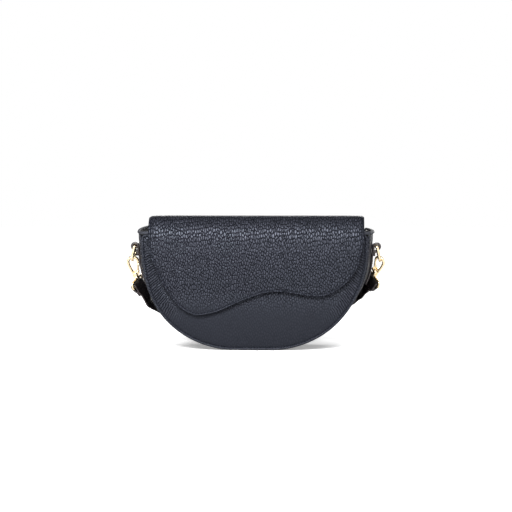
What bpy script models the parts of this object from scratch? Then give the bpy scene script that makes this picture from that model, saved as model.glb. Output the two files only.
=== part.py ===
"""Half-moon shoulder bag: two D-shaped panels round a bowed gusset, a flap that folds over
the mouth from the back panel, and a strap on two swivel snap hooks.

Metres, +Z up. The front faces -Y, +X is the viewer's right, and the origin is the middle
of the flat stretch that the bag stands on.
"""

import math

import bmesh
import bpy
from mathutils import Matrix, Vector

# Driving sizes of the bag's body
panel_width = 0.234
shoulder_height = 0.1135
base_sag = 0.0017
corner_power_share = 2.35
front_rim_rise = 0.0048
back_rim_rise = 0.0040
bag_depth = 0.066
panel_thickness = 0.0018
gusset_thickness = 0.0018
gusset_bow = 0.0045
gusset_bow_fall = 0.0735
gusset_bow_full_fall = 0.0285
rim_flare = 0.0015
rim_flare_fall = 0.0135
lining_thickness = 0.0008
lining_standoff = 0.0014
binding_height = 0.0042
binding_proud = 0.0012
gap = 0.0003

# The flap, its fold along the back and its lining
flap_width = 0.222
flap_shift = 0.0020
flap_thickness = 0.0024
flap_lining_thickness = 0.0008
flap_lining_margin = 0.0040
flap_front_standoff = 0.0060
flap_tail_length = 0.020
flap_tail_thickness = 0.0020
fold_rise = 0.0087
back_roll_radius = 0.0100
front_roll_radius = 0.0140
flap_drop = 0.0871

# The magnetic snap
snap_radius = 0.0080
snap_socket_thickness = 0.0018
snap_stud_thickness = 0.0010
snap_hole_radius = 0.0042
snap_hole_depth = 0.0012
snap_nub_radius = 0.0030
snap_nub_length = 0.0008
snap_plate_radius = 0.0070
snap_plate_thickness = 0.0008
snap_height = 0.0600
snap_side = 0.0450

# The slip pocket on the back lining
pocket_width = 0.120
pocket_bottom = 0.034
pocket_top = 0.098
pocket_thickness = 0.0008

# The side tabs and the rings in them
tab_width = 0.0180
tab_thickness = 0.0018
tab_length = 0.0395
tab_curl_radius = 0.0036
tab_lap_length = 0.0100
tab_neck_turn = 50.0
tab_neck_radius = 0.0020
ring_fall = 0.0070
ring_wire = 0.0015
ring_inner_width = 0.0200
ring_drop = 0.0150
ring_kick = 0.0036
ring_corner_share = 0.85

# The snap hooks, in the hook's own frame: up is along its stem
hook_wire = 0.0014
hook_height = 0.0255
hook_arc_radius = 0.0052
hook_spine_foot = 0.0040
hook_nose_drop = 0.0025
barrel_radius = 0.0032
barrel_height = 0.0050
barrel_bore = 0.0011
barrel_chamber_radius = 0.0022
barrel_chamber_low = 0.0020
barrel_chamber_high = 0.0040
ear_height = 0.0040
ear_thickness = 0.0009
gate_eye_radius = 0.0016
gate_wire = 0.0011
gate_pin_radius = 0.0006
gate_pin_hole = 0.00069
gate_half_thickness = 0.0011
spring_wire = 0.00035
swivel_pin_radius = 0.0010
swivel_head_radius = 0.0018
swivel_head_thickness = 0.0011
ring_hook_gap = 0.0005

# The strap's rings and the strap
loop_wire = 0.0013
loop_inner_width = 0.0212
loop_inner_height = 0.0042
loop_corner_radius = 0.0022
strap_width = 0.0200
strap_thickness = 0.0018
strap_fold_length = 0.0120
strap_lap_length = 0.0100
lane_start = 0.0270
lane_pitch = 0.0160
lane_left = 0.0680
lane_right = 0.0440
lane_count = 5

# How each side's hook hangs, in degrees
hook_lean = {"left": 20.0, "right": 36.0}
hook_turn = {"left": 8.0, "right": 34.0}
loop_turn = {"left": 18.0, "right": 22.0}
hook_pull_in_shares = {"left": 0.14, "right": 0.20}

# The way each strap end runs from its ring, as shares inward, back and down
strap_run_shares = {"left": (1.0, 0.1, 1.0), "right": (0.55, 0.65, 0.53)}

# Counts
outline_steps = 15
gusset_columns = 9
arc_steps = 8
wire_steps = 28
lane_arc_steps = 8
way_steps = 3
round_sides = 24
small_sides = 12
cut_overrun = 0.0010

# Outline of the flap's lower edge: (share of half its width, share of its drop)
flap_edge_shares = (
    (-1.000, 0.166),
    (-0.983, 0.285),
    (-0.918, 0.480),
    (-0.855, 0.650),
    (-0.780, 0.798),
    (-0.698, 0.915),
    (-0.599, 0.984),
    (-0.514, 1.000),
    (-0.333, 0.944),
    (-0.135, 0.830),
    (0.064, 0.739),
    (0.195, 0.718),
    (0.312, 0.730),
    (0.427, 0.755),
    (0.559, 0.772),
    (0.659, 0.755),
    (0.759, 0.692),
    (0.841, 0.607),
    (0.907, 0.502),
    (0.949, 0.396),
    (0.974, 0.269),
    (1.000, 0.119),
)

# The strap's way from each hook to the lanes behind the bag: places as shares of half the
# panel's width, of the bag's depth and of the ring's height, then the strap's width
# direction as shares inward, back and up
strap_way_shares = {
    "left": (
        (0.938, 0.235, 0.425, 0.00, 0.66, 0.70),
        (0.924, 0.326, 0.402, -0.30, 0.40, 0.86),
        (0.903, 0.440, 0.387, -0.30, 0.25, 0.92),
        (0.858, 0.555, 0.368, -0.15, 0.15, 0.98),
        (0.795, 0.680, 0.335, 0.00, 0.00, 1.00),
        (0.690, 0.880, 0.255, 0.00, 0.00, 1.00),
        (0.545, 0.935, 0.155, 0.00, 0.00, 1.00),
    ),
    "right": (
        (0.951, 0.455, 0.505, 0.18, 0.62, 0.78),
        (0.900, 0.560, 0.492, 0.05, 0.40, 0.92),
        (0.840, 0.650, 0.474, 0.00, 0.20, 0.98),
        (0.770, 0.745, 0.448, 0.00, 0.10, 1.00),
        (0.684, 1.000, 0.366, 0.00, 0.00, 1.00),
        (0.615, 1.333, 0.258, 0.00, 0.00, 1.00),
        (0.538, 1.620, 0.165, 0.00, 0.00, 1.00),
    ),
}

panel_half = panel_width / 2
front_rim_height = shoulder_height + front_rim_rise
fold_height = front_rim_height + fold_rise
rim_flare_start = shoulder_height - rim_flare_fall
gusset_bow_low = shoulder_height - gusset_bow_fall
gusset_bow_high = shoulder_height - gusset_bow_full_fall
ring_height = shoulder_height - ring_fall
tab_low_end = ring_height - tab_length
tab_lap_end = ring_height - tab_lap_length
half_depth = bag_depth / 2
panel_inner = half_depth - panel_thickness
lining_outer = panel_inner - lining_standoff
lining_inner = lining_outer - lining_thickness
gusset_half = panel_inner - gap
flap_half = flap_width / 2
side_signs = {"left": -1.0, "right": 1.0}


def clear_scene():
    for item in list(bpy.data.objects):
        bpy.data.objects.remove(item, do_unlink=True)


def new_collection(name):
    collection = bpy.data.collections.new(name)
    bpy.context.scene.collection.children.link(collection)
    return collection


def leather(name, colour, roughness):
    material = bpy.data.materials.new(name)
    material.use_nodes = True
    shader = material.node_tree.nodes["Principled BSDF"]
    shader.inputs["Base Color"].default_value = (*colour, 1.0)
    shader.inputs["Roughness"].default_value = roughness
    return material


def metal(name, colour, roughness):
    material = leather(name, colour, roughness)
    material.node_tree.nodes["Principled BSDF"].inputs["Metallic"].default_value = 1.0
    return material


def add_object(name, mesh, material, collection):
    item = bpy.data.objects.new(name, mesh)
    collection.objects.link(item)
    mesh.materials.clear()
    mesh.materials.append(material)
    return item


def mesh_from(builder, name):
    mesh = bpy.data.meshes.new(name)
    builder.normal_update()
    builder.to_mesh(mesh)
    builder.free()
    return mesh


def solid_from_curve(curve, name):
    """A curve's evaluated surface as a closed mesh, with its caps welded on."""
    guide = bpy.data.objects.new(name, curve)
    bpy.context.scene.collection.objects.link(guide)
    bpy.context.view_layer.update()
    evaluated = guide.evaluated_get(bpy.context.evaluated_depsgraph_get())
    mesh = bpy.data.meshes.new_from_object(evaluated)
    bpy.data.objects.remove(guide, do_unlink=True)
    builder = bmesh.new()
    builder.from_mesh(mesh)
    bmesh.ops.remove_doubles(builder, verts=builder.verts, dist=gap / 100)
    bmesh.ops.recalc_face_normals(builder, faces=builder.faces)
    builder.to_mesh(mesh)
    builder.free()
    return mesh


def wire_mesh(name, points, radius, cyclic=False, resolution=2):
    curve = bpy.data.curves.new(name, "CURVE")
    curve.dimensions = "3D"
    curve.bevel_depth = radius
    curve.bevel_resolution = resolution
    curve.use_fill_caps = not cyclic
    spline = curve.splines.new("POLY")
    spline.points.add(len(points) - 1)
    for target, point in zip(spline.points, points):
        target.co = (*point, 1.0)
    spline.use_cyclic_u = cyclic
    return solid_from_curve(curve, name)


def plate_mesh(name, outline, thickness):
    """A flat outline given as pairs, standing in the XZ plane and centred on Y = 0."""
    curve = bpy.data.curves.new(name, "CURVE")
    curve.dimensions = "2D"
    curve.fill_mode = "BOTH"
    curve.extrude = thickness / 2
    spline = curve.splines.new("POLY")
    spline.points.add(len(outline) - 1)
    for target, (across, up) in zip(spline.points, outline):
        target.co = (across, up, 0.0, 1.0)
    spline.use_cyclic_u = True
    mesh = solid_from_curve(curve, name)
    mesh.transform(Matrix.Rotation(math.radians(90), 4, "X"))
    return mesh


def disc_mesh(name, radius, thickness, sides=round_sides):
    """A disc whose axis is Y, centred on the origin."""
    builder = bmesh.new()
    bmesh.ops.create_cone(
        builder,
        cap_ends=True,
        segments=sides,
        radius1=radius,
        radius2=radius,
        depth=thickness,
        matrix=Matrix.Rotation(math.radians(90), 4, "X"),
    )
    return mesh_from(builder, name)


def box_mesh(name, low, high):
    builder = bmesh.new()
    bmesh.ops.create_cube(builder, size=1.0)
    size = Vector(high) - Vector(low)
    bmesh.ops.scale(builder, vec=size, verts=builder.verts)
    bmesh.ops.translate(builder, vec=(Vector(low) + Vector(high)) / 2, verts=builder.verts)
    return mesh_from(builder, name)


def loft_mesh(name, sections, closed_section):
    """Faces between unlike sections. Closed sections get end caps and make a solid."""
    builder = bmesh.new()
    rows = [[builder.verts.new(point) for point in section] for section in sections]
    count = len(rows[0])
    spans = count if closed_section else count - 1
    for low, high in zip(rows, rows[1:]):
        for i in range(spans):
            j = (i + 1) % count
            builder.faces.new((low[i], low[j], high[j], high[i]))
    if closed_section:
        builder.faces.new(list(reversed(rows[0])))
        builder.faces.new(rows[-1])
        bmesh.ops.recalc_face_normals(builder, faces=builder.faces)
    return mesh_from(builder, name)


def boolean(target, cutter_mesh, operation, cutters, material):
    """Cut or join with a closed mesh that stays as a hidden cutter."""
    cutter = add_object(f"{target.name}_cutter_{len(target.modifiers)}", cutter_mesh, material, cutters)
    cutter.matrix_world = target.matrix_world
    cutter.hide_render = True
    cutter.display_type = "WIRE"
    modifier = target.modifiers.new(operation.lower(), "BOOLEAN")
    modifier.operation = operation
    modifier.object = cutter


def smoothstep(value, low, high):
    share = min(max((value - low) / (high - low), 0.0), 1.0)
    return share * share * (3 - 2 * share)


def spline_through(points, steps):
    """Points on a smooth curve through the given ones, steps to each stretch."""
    ends = [2 * points[0] - points[1]] + list(points) + [2 * points[-1] - points[-2]]
    found = []
    for a, b, c, d in zip(ends, ends[1:], ends[2:], ends[3:]):
        for i in range(steps):
            t = i / steps
            square = (2 * a - 5 * b + 4 * c - d) * t**2
            cube = (3 * b - a - 3 * c + d) * t**3
            found.append((2 * b + (c - a) * t + square + cube) / 2)
    found.append(points[-1].copy())
    return found


def thick_outline(points, thickness):
    """The outline of a bent strip of even thickness round a line of 2D points."""
    left, right = [], []
    for i, point in enumerate(points):
        before = points[max(i - 1, 0)]
        after = points[min(i + 1, len(points) - 1)]
        along = (after - before).normalized()
        across = Vector((-along.y, along.x)) * thickness / 2
        left.append(point + across)
        right.append(point - across)
    return left + right[::-1]


def arc(centre, radius, start, stop, steps):
    """2D points along an arc, with its angles in degrees."""
    angles = [math.radians(start + (stop - start) * i / steps) for i in range(steps + 1)]
    return [Vector((centre[0] + radius * math.cos(a), centre[1] + radius * math.sin(a))) for a in angles]


def half_width(height):
    """Half the width of the D at a height."""
    rise = shoulder_height + base_sag
    below = max(shoulder_height - height, 0.0) / rise
    return panel_half * (1 - below**corner_power_share) ** (1 / corner_power_share)


def lower_curve(inset):
    """The D from its right shoulder down to the right end of the flat base, moved inward."""
    rise = shoulder_height + base_sag
    last = math.asin((shoulder_height / rise) ** (corner_power_share / 2))
    found = []
    for i in range(outline_steps + 1):
        angle = last * i / outline_steps
        x = panel_half * math.cos(angle) ** (2 / corner_power_share)
        z = shoulder_height - rise * math.sin(angle) ** (2 / corner_power_share)
        found.append(Vector((x, z)))
    moved = []
    for i, point in enumerate(found):
        if i == 0:
            normal = Vector((1.0, 0.0))
        elif i == len(found) - 1:
            normal = Vector((0.0, -1.0))
        else:
            along = (found[i + 1] - found[i - 1]).normalized()
            normal = Vector((-along.y, along.x))
        moved.append((point - normal * inset, normal))
    return moved


def d_outline(inset, top):
    """The D's closed outline, with straight sides above its shoulders."""
    curve = [point for point, _ in lower_curve(inset)]
    right = [Vector((curve[0].x, top))] + curve
    left = [Vector((-point.x, point.y)) for point in reversed(right)]
    return right + left


def rim_height(y):
    """The height of the gusset's top edge, which rises from the front to the back."""
    return front_rim_height + back_rim_rise * (y + half_depth) / bag_depth


def bow_at(height, y):
    """How far the gusset bows out of the D at a height and a depth."""
    side = gusset_bow * smoothstep(height, gusset_bow_low, gusset_bow_high)
    flare = rim_flare * smoothstep(height, rim_flare_start, front_rim_height)
    return (side + flare) * math.cos(math.pi * y / (2 * half_depth)) ** 0.7


def side_face(height, y=0.0):
    """How far out the gusset's outer face is, from the bag's middle plane."""
    return half_width(height) + bow_at(height, y)


def gusset_sections(inset, half, top_drop):
    """Rows of the gusset's outer face, from the left rim down and up to the right rim."""
    columns = [-half + 2 * half * i / (gusset_columns - 1) for i in range(gusset_columns)]
    curve = lower_curve(inset)
    steps = [(point, normal) for point, normal in curve]
    low, high = shoulder_height, front_rim_height
    rows = []
    for share in (1.0, 0.5):
        row = []
        for y in columns:
            z = low + (rim_height(y) - top_drop - low) * share
            row.append(Vector((panel_half - inset + bow_at(min(z, high), y), y, z)))
        rows.append(row)
    for point, normal in steps:
        row = []
        for y in columns:
            bow = bow_at(point.y + inset * max(normal.y, 0.0), y)
            row.append(Vector((point.x + normal.x * bow, y, point.y + normal.y * bow)))
        rows.append(row)
    mirrored = [[Vector((-p.x, p.y, p.z)) for p in row] for row in rows]
    return mirrored + rows[::-1]


def add_panels(parts, blue, cloth):
    outline = d_outline(0.0, front_rim_height)
    front = add_object("front_panel", plate_mesh("front_panel", outline, panel_thickness), blue, parts)
    front.location.y = -(half_depth + panel_inner) / 2
    back_top = fold_height - flap_thickness / 2 - gap
    outline = d_outline(0.0, back_top)
    back = add_object("back_panel", plate_mesh("back_panel", outline, panel_thickness), blue, parts)
    back.location.y = (half_depth + panel_inner) / 2
    inset = gusset_thickness + gap
    outline = d_outline(inset, front_rim_height)
    lining = add_object("front_lining", plate_mesh("front_lining", outline, lining_thickness), cloth, parts)
    lining.location.y = -(lining_outer + lining_inner) / 2
    outline = d_outline(inset, back_top)
    lining = add_object("back_lining", plate_mesh("back_lining", outline, lining_thickness), cloth, parts)
    lining.location.y = (lining_outer + lining_inner) / 2


def add_gusset(parts, blue, cloth):
    sections = gusset_sections(0.0, gusset_half, 0.0)
    gusset = add_object("gusset", loft_mesh("gusset", sections, False), blue, parts)
    wall = gusset.modifiers.new("wall", "SOLIDIFY")
    wall.thickness = gusset_thickness
    wall.offset = -1
    wall.use_even_offset = True
    inset = gusset_thickness + gap
    sections = gusset_sections(inset, lining_inner - gap, 0.0)
    lining = add_object("gusset_lining", loft_mesh("gusset_lining", sections, False), cloth, parts)
    wall = lining.modifiers.new("wall", "SOLIDIFY")
    wall.thickness = lining_thickness
    wall.offset = -1
    wall.use_even_offset = True


def add_bindings(parts, blue):
    inner = lining_inner - gap
    low = (-panel_half, -(half_depth + binding_proud), front_rim_height + gap)
    high = (panel_half, -inner, front_rim_height + gap + binding_height)
    bar = add_object("front_rim_binding", box_mesh("front_rim_binding", low, high), blue, parts)
    bevel = bar.modifiers.new("edges", "BEVEL")
    bevel.width = binding_proud / 2
    bevel.segments = 2
    depth_in = gusset_thickness + lining_thickness + gap * 3
    start = -inner + gap
    stop = panel_inner - gap
    for side, sign in side_signs.items():
        sections = []
        for i in range(gusset_columns):
            y = start + (stop - start) * i / (gusset_columns - 1)
            face = panel_half + bow_at(front_rim_height, y)
            outer = face + binding_proud * math.cos(math.pi * y / (2 * half_depth))
            inside = face - depth_in
            low_z = rim_height(y) + gap
            high_z = low_z + binding_height
            edge = binding_proud / 2
            section = [
                (outer, y, low_z),
                (outer, y, high_z - edge),
                (outer - edge, y, high_z),
                (inside + edge, y, high_z),
                (inside, y, high_z - edge),
                (inside, y, low_z),
            ]
            sections.append([Vector((sign * x, dy, z)) for x, dy, z in section])
        name = f"{side}_rim_binding"
        add_object(name, loft_mesh(name, sections, True), blue, parts)


def add_pocket(parts, cloth):
    outline = [
        Vector((-pocket_width / 2, pocket_bottom)),
        Vector((pocket_width / 2, pocket_bottom)),
        Vector((pocket_width / 2, pocket_top)),
        Vector((-pocket_width / 2, pocket_top)),
    ]
    pocket = add_object("slip_pocket", plate_mesh("slip_pocket", outline, pocket_thickness), cloth, parts)
    pocket.location.y = lining_inner - gap - pocket_thickness / 2


def fold_axis():
    """Where the flap folds along the back, as (Y, Z)."""
    return Vector((half_depth + gap + flap_tail_thickness / 2, fold_height))


def flap_profile():
    """The flap's middle line from its fold over the mouth and down the front, as (Y, Z)."""
    fold = fold_axis()
    front = -(half_depth + flap_front_standoff)
    back_centre = (fold.x - back_roll_radius, fold.y)
    top = fold.y + back_roll_radius
    front_centre = (front + front_roll_radius, top - front_roll_radius)
    line = arc(back_centre, back_roll_radius, 0, 90, arc_steps)
    line += arc(front_centre, front_roll_radius, 90, 180, arc_steps)
    line.append(Vector((front, front_centre[1] - flap_drop - cut_overrun * 4)))
    return line


def flap_edge(margin):
    """The flap's outline as (X, Z) pairs, its sides closed high above the roll."""
    top = fold_height + back_roll_radius - front_roll_radius
    points = [Vector((x * flap_half, top - share * flap_drop)) for x, share in flap_edge_shares]
    line = spline_through(points, 3)
    moved = []
    for i, point in enumerate(line):
        along = (line[min(i + 1, len(line) - 1)] - line[max(i - 1, 0)]).normalized()
        moved.append(point + Vector((-along.y, along.x)) * margin + Vector((flap_shift, 0.0)))
    high = fold_height + back_roll_radius * 3
    left = flap_shift - flap_half + margin
    right = flap_shift + flap_half - margin
    return [Vector((left, high))] + moved + [Vector((right, high))]


def offset_line(points, distance):
    """A line of 2D points moved sideways, to the left of its direction."""
    moved = []
    for i, point in enumerate(points):
        along = (points[min(i + 1, len(points) - 1)] - points[max(i - 1, 0)]).normalized()
        moved.append(point + Vector((-along.y, along.x)) * distance)
    return moved


def across_x(mesh):
    """Turn a plate that stands in XZ so that its outline's first axis lies along Y."""
    mesh.transform(Matrix.Rotation(math.radians(90), 4, "Z"))
    return mesh


def add_flap(parts, cutters, blue, cloth):
    width = flap_width * 2
    line = flap_profile()
    outline = thick_outline(line, flap_thickness)
    fold = fold_axis()
    cap = arc(fold, flap_thickness / 2, 0, -180, arc_steps)[1:-1]
    outline = outline[: len(line)] + outline[len(line) :] + cap
    flap = add_object("flap", across_x(plate_mesh("flap", outline, width)), blue, parts)
    cutter = plate_mesh("flap_outline", flap_edge(0.0), bag_depth * 2)
    boolean(flap, cutter, "INTERSECT", cutters, blue)

    inner = (flap_thickness + flap_lining_thickness) / 2 + gap
    inner_line = offset_line(line, inner)[arc_steps // 2 :]
    outline = thick_outline(inner_line, flap_lining_thickness)
    lining = add_object("flap_lining", across_x(plate_mesh("flap_lining", outline, width)), cloth, parts)
    cutter = plate_mesh("flap_lining_outline", flap_edge(flap_lining_margin), bag_depth * 2)
    boolean(lining, cutter, "INTERSECT", cutters, cloth)
    hole = disc_mesh("snap_plate_hole", snap_plate_radius + gap, bag_depth / 4)
    hole.transform(Matrix.Translation(snap_place(-half_depth - flap_front_standoff)))
    boolean(lining, hole, "DIFFERENCE", cutters, cloth)

    tail_low = fold_height - flap_thickness / 2 - gap - flap_tail_length
    low = (flap_shift - flap_half, half_depth + gap, tail_low)
    high = (flap_shift + flap_half, half_depth + gap + flap_tail_thickness, tail_low + flap_tail_length)
    add_object("flap_tail", box_mesh("flap_tail", low, high), blue, parts)


def snap_place(y):
    return Vector((flap_shift - snap_side, y, snap_height))


def add_snap(parts, cutters, steel):
    disc = disc_mesh("snap_socket", snap_radius, snap_socket_thickness)
    socket = add_object("snap_socket", disc, steel, parts)
    socket.location = snap_place(-half_depth - gap - snap_socket_thickness / 2)
    bpy.context.view_layer.update()
    hole = disc_mesh("snap_hole", snap_hole_radius, snap_hole_depth * 2)
    hole.transform(Matrix.Translation((0.0, -snap_socket_thickness / 2, 0.0)))
    boolean(socket, hole, "DIFFERENCE", cutters, steel)
    disc = disc_mesh("snap_socket_plate", snap_plate_radius, snap_plate_thickness)
    plate = add_object("snap_socket_plate", disc, steel, parts)
    plate.location = snap_place(-panel_inner + gap + snap_plate_thickness / 2)

    flap_inner = -half_depth - flap_front_standoff + flap_thickness / 2
    lining_face = flap_inner + gap + flap_lining_thickness
    disc = disc_mesh("snap_stud_plate", snap_plate_radius, flap_lining_thickness)
    plate = add_object("snap_stud_plate", disc, steel, parts)
    plate.location = snap_place(flap_inner + gap + flap_lining_thickness / 2)
    disc = disc_mesh("snap_stud", snap_radius, snap_stud_thickness)
    stud = add_object("snap_stud", disc, steel, parts)
    stud.location = snap_place(lining_face + gap + snap_stud_thickness / 2)
    bpy.context.view_layer.update()
    nub = disc_mesh("snap_nub", snap_nub_radius, snap_nub_length * 2)
    nub.transform(Matrix.Translation((0.0, snap_stud_thickness / 2, 0.0)))
    boolean(stud, nub, "UNION", cutters, steel)


def bar_out():
    """How far out the ring's bar is: the middle of the tab's curl."""
    return side_face(ring_height) + gap + tab_thickness / 2 + tab_curl_radius


def tab_line():
    """The tab's middle line on the right side, from its low end up, round and down."""
    heights = [tab_low_end + (tab_lap_end - tab_low_end) * i / 6 for i in range(7)]
    line = [Vector((side_face(z) + gap + tab_thickness / 2, z)) for z in heights]
    curl = arc((bar_out(), ring_height), tab_curl_radius, 180, -tab_neck_turn, arc_steps * 2)
    outer = side_face(tab_lap_end) + gap * 2 + tab_thickness * 1.5
    turn = math.radians(tab_neck_turn)
    slack = curl[-1].x - tab_neck_radius * (1 - math.cos(turn)) - outer
    neck = curl[-1] - Vector((math.sin(turn), math.cos(turn))) * slack / math.sin(turn)
    centre = neck + Vector((math.cos(turn), -math.sin(turn))) * tab_neck_radius
    foot = arc(centre, tab_neck_radius, 180 - tab_neck_turn, 180, arc_steps // 2)
    return line + curl + foot + [Vector((outer, tab_lap_end))]


def add_tabs(parts, black):
    outline = thick_outline(tab_line(), tab_thickness)
    for side, sign in side_signs.items():
        mirrored = [Vector((sign * p.x, p.y)) for p in outline]
        name = f"{side}_tab"
        add_object(name, plate_mesh(name, mirrored, tab_width), black, parts)


def ring_frame(sign):
    """Middle of the ring's bar, and the middle of its bow where the hook hangs."""
    bar = Vector((sign * bar_out(), 0.0, ring_height))
    bow = bar + Vector((sign * ring_kick, 0.0, -ring_drop))
    return bar, bow


def ring_points(sign):
    bar, bow = ring_frame(sign)
    half = ring_inner_width / 2 + ring_wire
    down = bow - bar
    points = [bar + Vector((0.0, half * share, 0.0)) for share in (-0.5, 0.0, 0.5)]
    for i in range(wire_steps // 2 + 1):
        angle = math.pi * i / (wire_steps // 2)
        wide = half * math.copysign(abs(math.cos(angle)) ** ring_corner_share, math.cos(angle))
        points.append(bar + Vector((0.0, wide, 0.0)) + down * math.sin(angle) ** ring_corner_share)
    return points


def stem_direction(side):
    """The way down along the hook's stem."""
    lean = math.radians(hook_lean[side])
    sign = side_signs[side]
    return Vector((-sign * hook_pull_in_shares[side], math.sin(lean), -math.cos(lean))).normalized()


def frame_matrix(origin, up, across):
    """A frame whose Z is up and whose X is as near across as it can be."""
    z = up.normalized()
    x = (across - z * across.dot(z)).normalized()
    y = z.cross(x)
    matrix = Matrix((x, y, z)).transposed().to_4x4()
    matrix.translation = origin
    return matrix


def hook_frame(side):
    """The hook's own frame: its origin is the middle of the barrel's lower face."""
    sign = side_signs[side]
    _, bow = ring_frame(sign)
    down = stem_direction(side)
    seat = (ring_wire + hook_wire) / math.cos(math.radians(hook_lean[side])) + ring_hook_gap
    origin = bow - down * seat + down * (hook_height - hook_wire)
    turn = math.radians(hook_turn[side])
    across = Vector((-sign * math.cos(turn), math.sin(turn), 0.0))
    return frame_matrix(origin, -down, across)


def loop_frame(side):
    """The strap ring's frame: origin at its upper bar, X along its bars."""
    sign = side_signs[side]
    down = stem_direction(side)
    origin = hook_frame(side).translation + down * (gap + loop_wire)
    turn = math.radians(loop_turn[side])
    across = Vector((-sign * math.sin(turn), math.cos(turn), 0.0))
    return frame_matrix(origin, -down, across)


def hook_line():
    """The hook's middle line: up the spine, over the top and down to the nose."""
    centre = hook_height - hook_wire - hook_arc_radius
    points = spline_through(
        [
            Vector((-barrel_radius * 0.45, hook_spine_foot)),
            Vector((-hook_arc_radius * 0.78, hook_spine_foot + (centre - hook_spine_foot) * 0.45)),
            Vector((-hook_arc_radius, centre)),
        ],
        3,
    )
    points += arc((0.0, centre), hook_arc_radius, 180, 0, arc_steps + 2)[1:]
    points.append(Vector((hook_arc_radius, centre - hook_nose_drop)))
    return [Vector((p.x, 0.0, p.y)) for p in points]


def gate_pivot():
    """The gate pin's place in the hook's frame."""
    return Vector((barrel_radius * 0.95, 0.0, barrel_height + ear_height / 2))


def add_hook(side, parts, cutters, gold):
    frame = hook_frame(side)
    builder = bmesh.new()
    bmesh.ops.create_cone(
        builder,
        cap_ends=True,
        segments=round_sides,
        radius1=barrel_radius,
        radius2=barrel_radius,
        depth=barrel_height,
        matrix=Matrix.Translation((0.0, 0.0, barrel_height / 2)),
    )
    hook = add_object(f"{side}_hook", mesh_from(builder, f"{side}_hook"), gold, parts)
    hook.matrix_world = frame
    bpy.context.view_layer.update()
    boolean(hook, wire_mesh("spine", hook_line(), hook_wire), "UNION", cutters, gold)
    pivot = gate_pivot()
    thick = gate_half_thickness + gap + ear_thickness
    wide = gate_eye_radius + gap * 2
    ears = box_mesh(
        "ears",
        (-barrel_radius * 0.7, -thick, barrel_height - cut_overrun),
        (pivot.x + wide, thick, pivot.z + wide),
    )
    boolean(hook, ears, "UNION", cutters, gold)
    slot = box_mesh(
        "slot",
        (pivot.x - wide, -gate_half_thickness - gap, pivot.z - wide),
        (pivot.x + wide + cut_overrun, gate_half_thickness + gap, pivot.z + wide + cut_overrun),
    )
    boolean(hook, slot, "DIFFERENCE", cutters, gold)
    pin_hole = disc_mesh("pin_hole", gate_pin_radius + gap / 2, thick * 2 + cut_overrun, small_sides)
    pin_hole.transform(Matrix.Translation(pivot))
    boolean(hook, pin_hole, "DIFFERENCE", cutters, gold)
    bore = turned_mesh(
        "bore",
        (
            (barrel_bore, -cut_overrun),
            (barrel_bore, barrel_chamber_low),
            (barrel_chamber_radius, barrel_chamber_low),
            (barrel_chamber_radius, barrel_chamber_high),
        ),
    )
    boolean(hook, bore, "DIFFERENCE", cutters, gold)

    name = f"{side}_gate_pin"
    pin = add_object(name, disc_mesh(name, gate_pin_radius, thick * 2, small_sides), gold, parts)
    pin.matrix_world = frame @ Matrix.Translation(pivot)


def turned_mesh(name, profile):
    """A solid of revolution about Z from (radius, height) pairs, lowest first."""
    sections = []
    for radius, height in profile:
        ring = []
        for i in range(small_sides):
            angle = 2 * math.pi * i / small_sides
            ring.append(Vector((radius * math.cos(angle), radius * math.sin(angle), height)))
        sections.append(ring)
    return loft_mesh(name, sections, True)


def add_gate(side, parts, cutters, gold):
    frame = hook_frame(side)
    pivot = gate_pivot()
    nose = hook_line()[-1]
    name = f"{side}_gate"
    disc = disc_mesh(name, gate_eye_radius, gate_half_thickness * 2, small_sides)
    eye = add_object(name, disc, gold, parts)
    eye.matrix_world = frame @ Matrix.Translation(pivot)
    bpy.context.view_layer.update()
    tip = nose - pivot - Vector((0.0, 0.0, gap))
    foot = tip.normalized() * gate_eye_radius * 0.6
    boolean(eye, wire_mesh("lever", [foot, tip], gate_wire), "UNION", cutters, gold)
    hole = disc_mesh("eye_hole", gate_pin_hole, gate_half_thickness * 4, small_sides)
    boolean(eye, hole, "DIFFERENCE", cutters, gold)


def add_gate_spring(side, parts, steel):
    pivot = gate_pivot()
    nose = hook_line()[-1]
    along = (nose - pivot).normalized()
    beside = Vector((-along.z, 0.0, along.x))
    reach = gate_wire + spring_wire + gap
    foot_x = -barrel_radius * 0.2
    foot_z = pivot.z + gate_eye_radius + gap * 2 + spring_wire + gap
    touch = pivot + along * gate_eye_radius * 3.2 + beside * reach
    middle = Vector((foot_x, 0.0, foot_z + (touch.z - foot_z) * 0.4))
    points = spline_through([Vector((foot_x, 0.0, foot_z)), middle, touch], 3)
    name = f"{side}_gate_spring"
    spring = add_object(name, wire_mesh(name, points, spring_wire), steel, parts)
    spring.matrix_world = hook_frame(side)


def loop_points():
    """The strap ring's middle line in its own frame, as a rounded rectangle."""
    half = loop_inner_width / 2 + loop_wire
    height = loop_inner_height + 2 * loop_wire
    corner = loop_corner_radius
    corners = (
        (half - corner, -corner, 90, 0),
        (half - corner, corner - height, 0, -90),
        (corner - half, corner - height, -90, -180),
        (corner - half, -corner, 180, 90),
    )
    points = []
    for x, z, start, stop in corners:
        points += arc((x, z), corner, start, stop, 4)
    return [Vector((p.x, 0.0, p.y)) for p in points]


def add_loop(side, parts, cutters, gold):
    frame = loop_frame(side)
    name = f"{side}_strap_ring"
    loop = add_object(name, wire_mesh(name, loop_points(), loop_wire, cyclic=True), gold, parts)
    loop.matrix_world = frame
    bpy.context.view_layer.update()
    stem_foot = loop_wire * 0.3
    head_low = loop_wire + gap + barrel_chamber_low + gap
    pin = turned_mesh(
        "swivel_pin",
        (
            (swivel_pin_radius, stem_foot),
            (swivel_pin_radius, head_low),
            (swivel_head_radius, head_low),
            (swivel_head_radius, head_low + swivel_head_thickness),
        ),
    )
    boolean(loop, pin, "UNION", cutters, gold)


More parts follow.
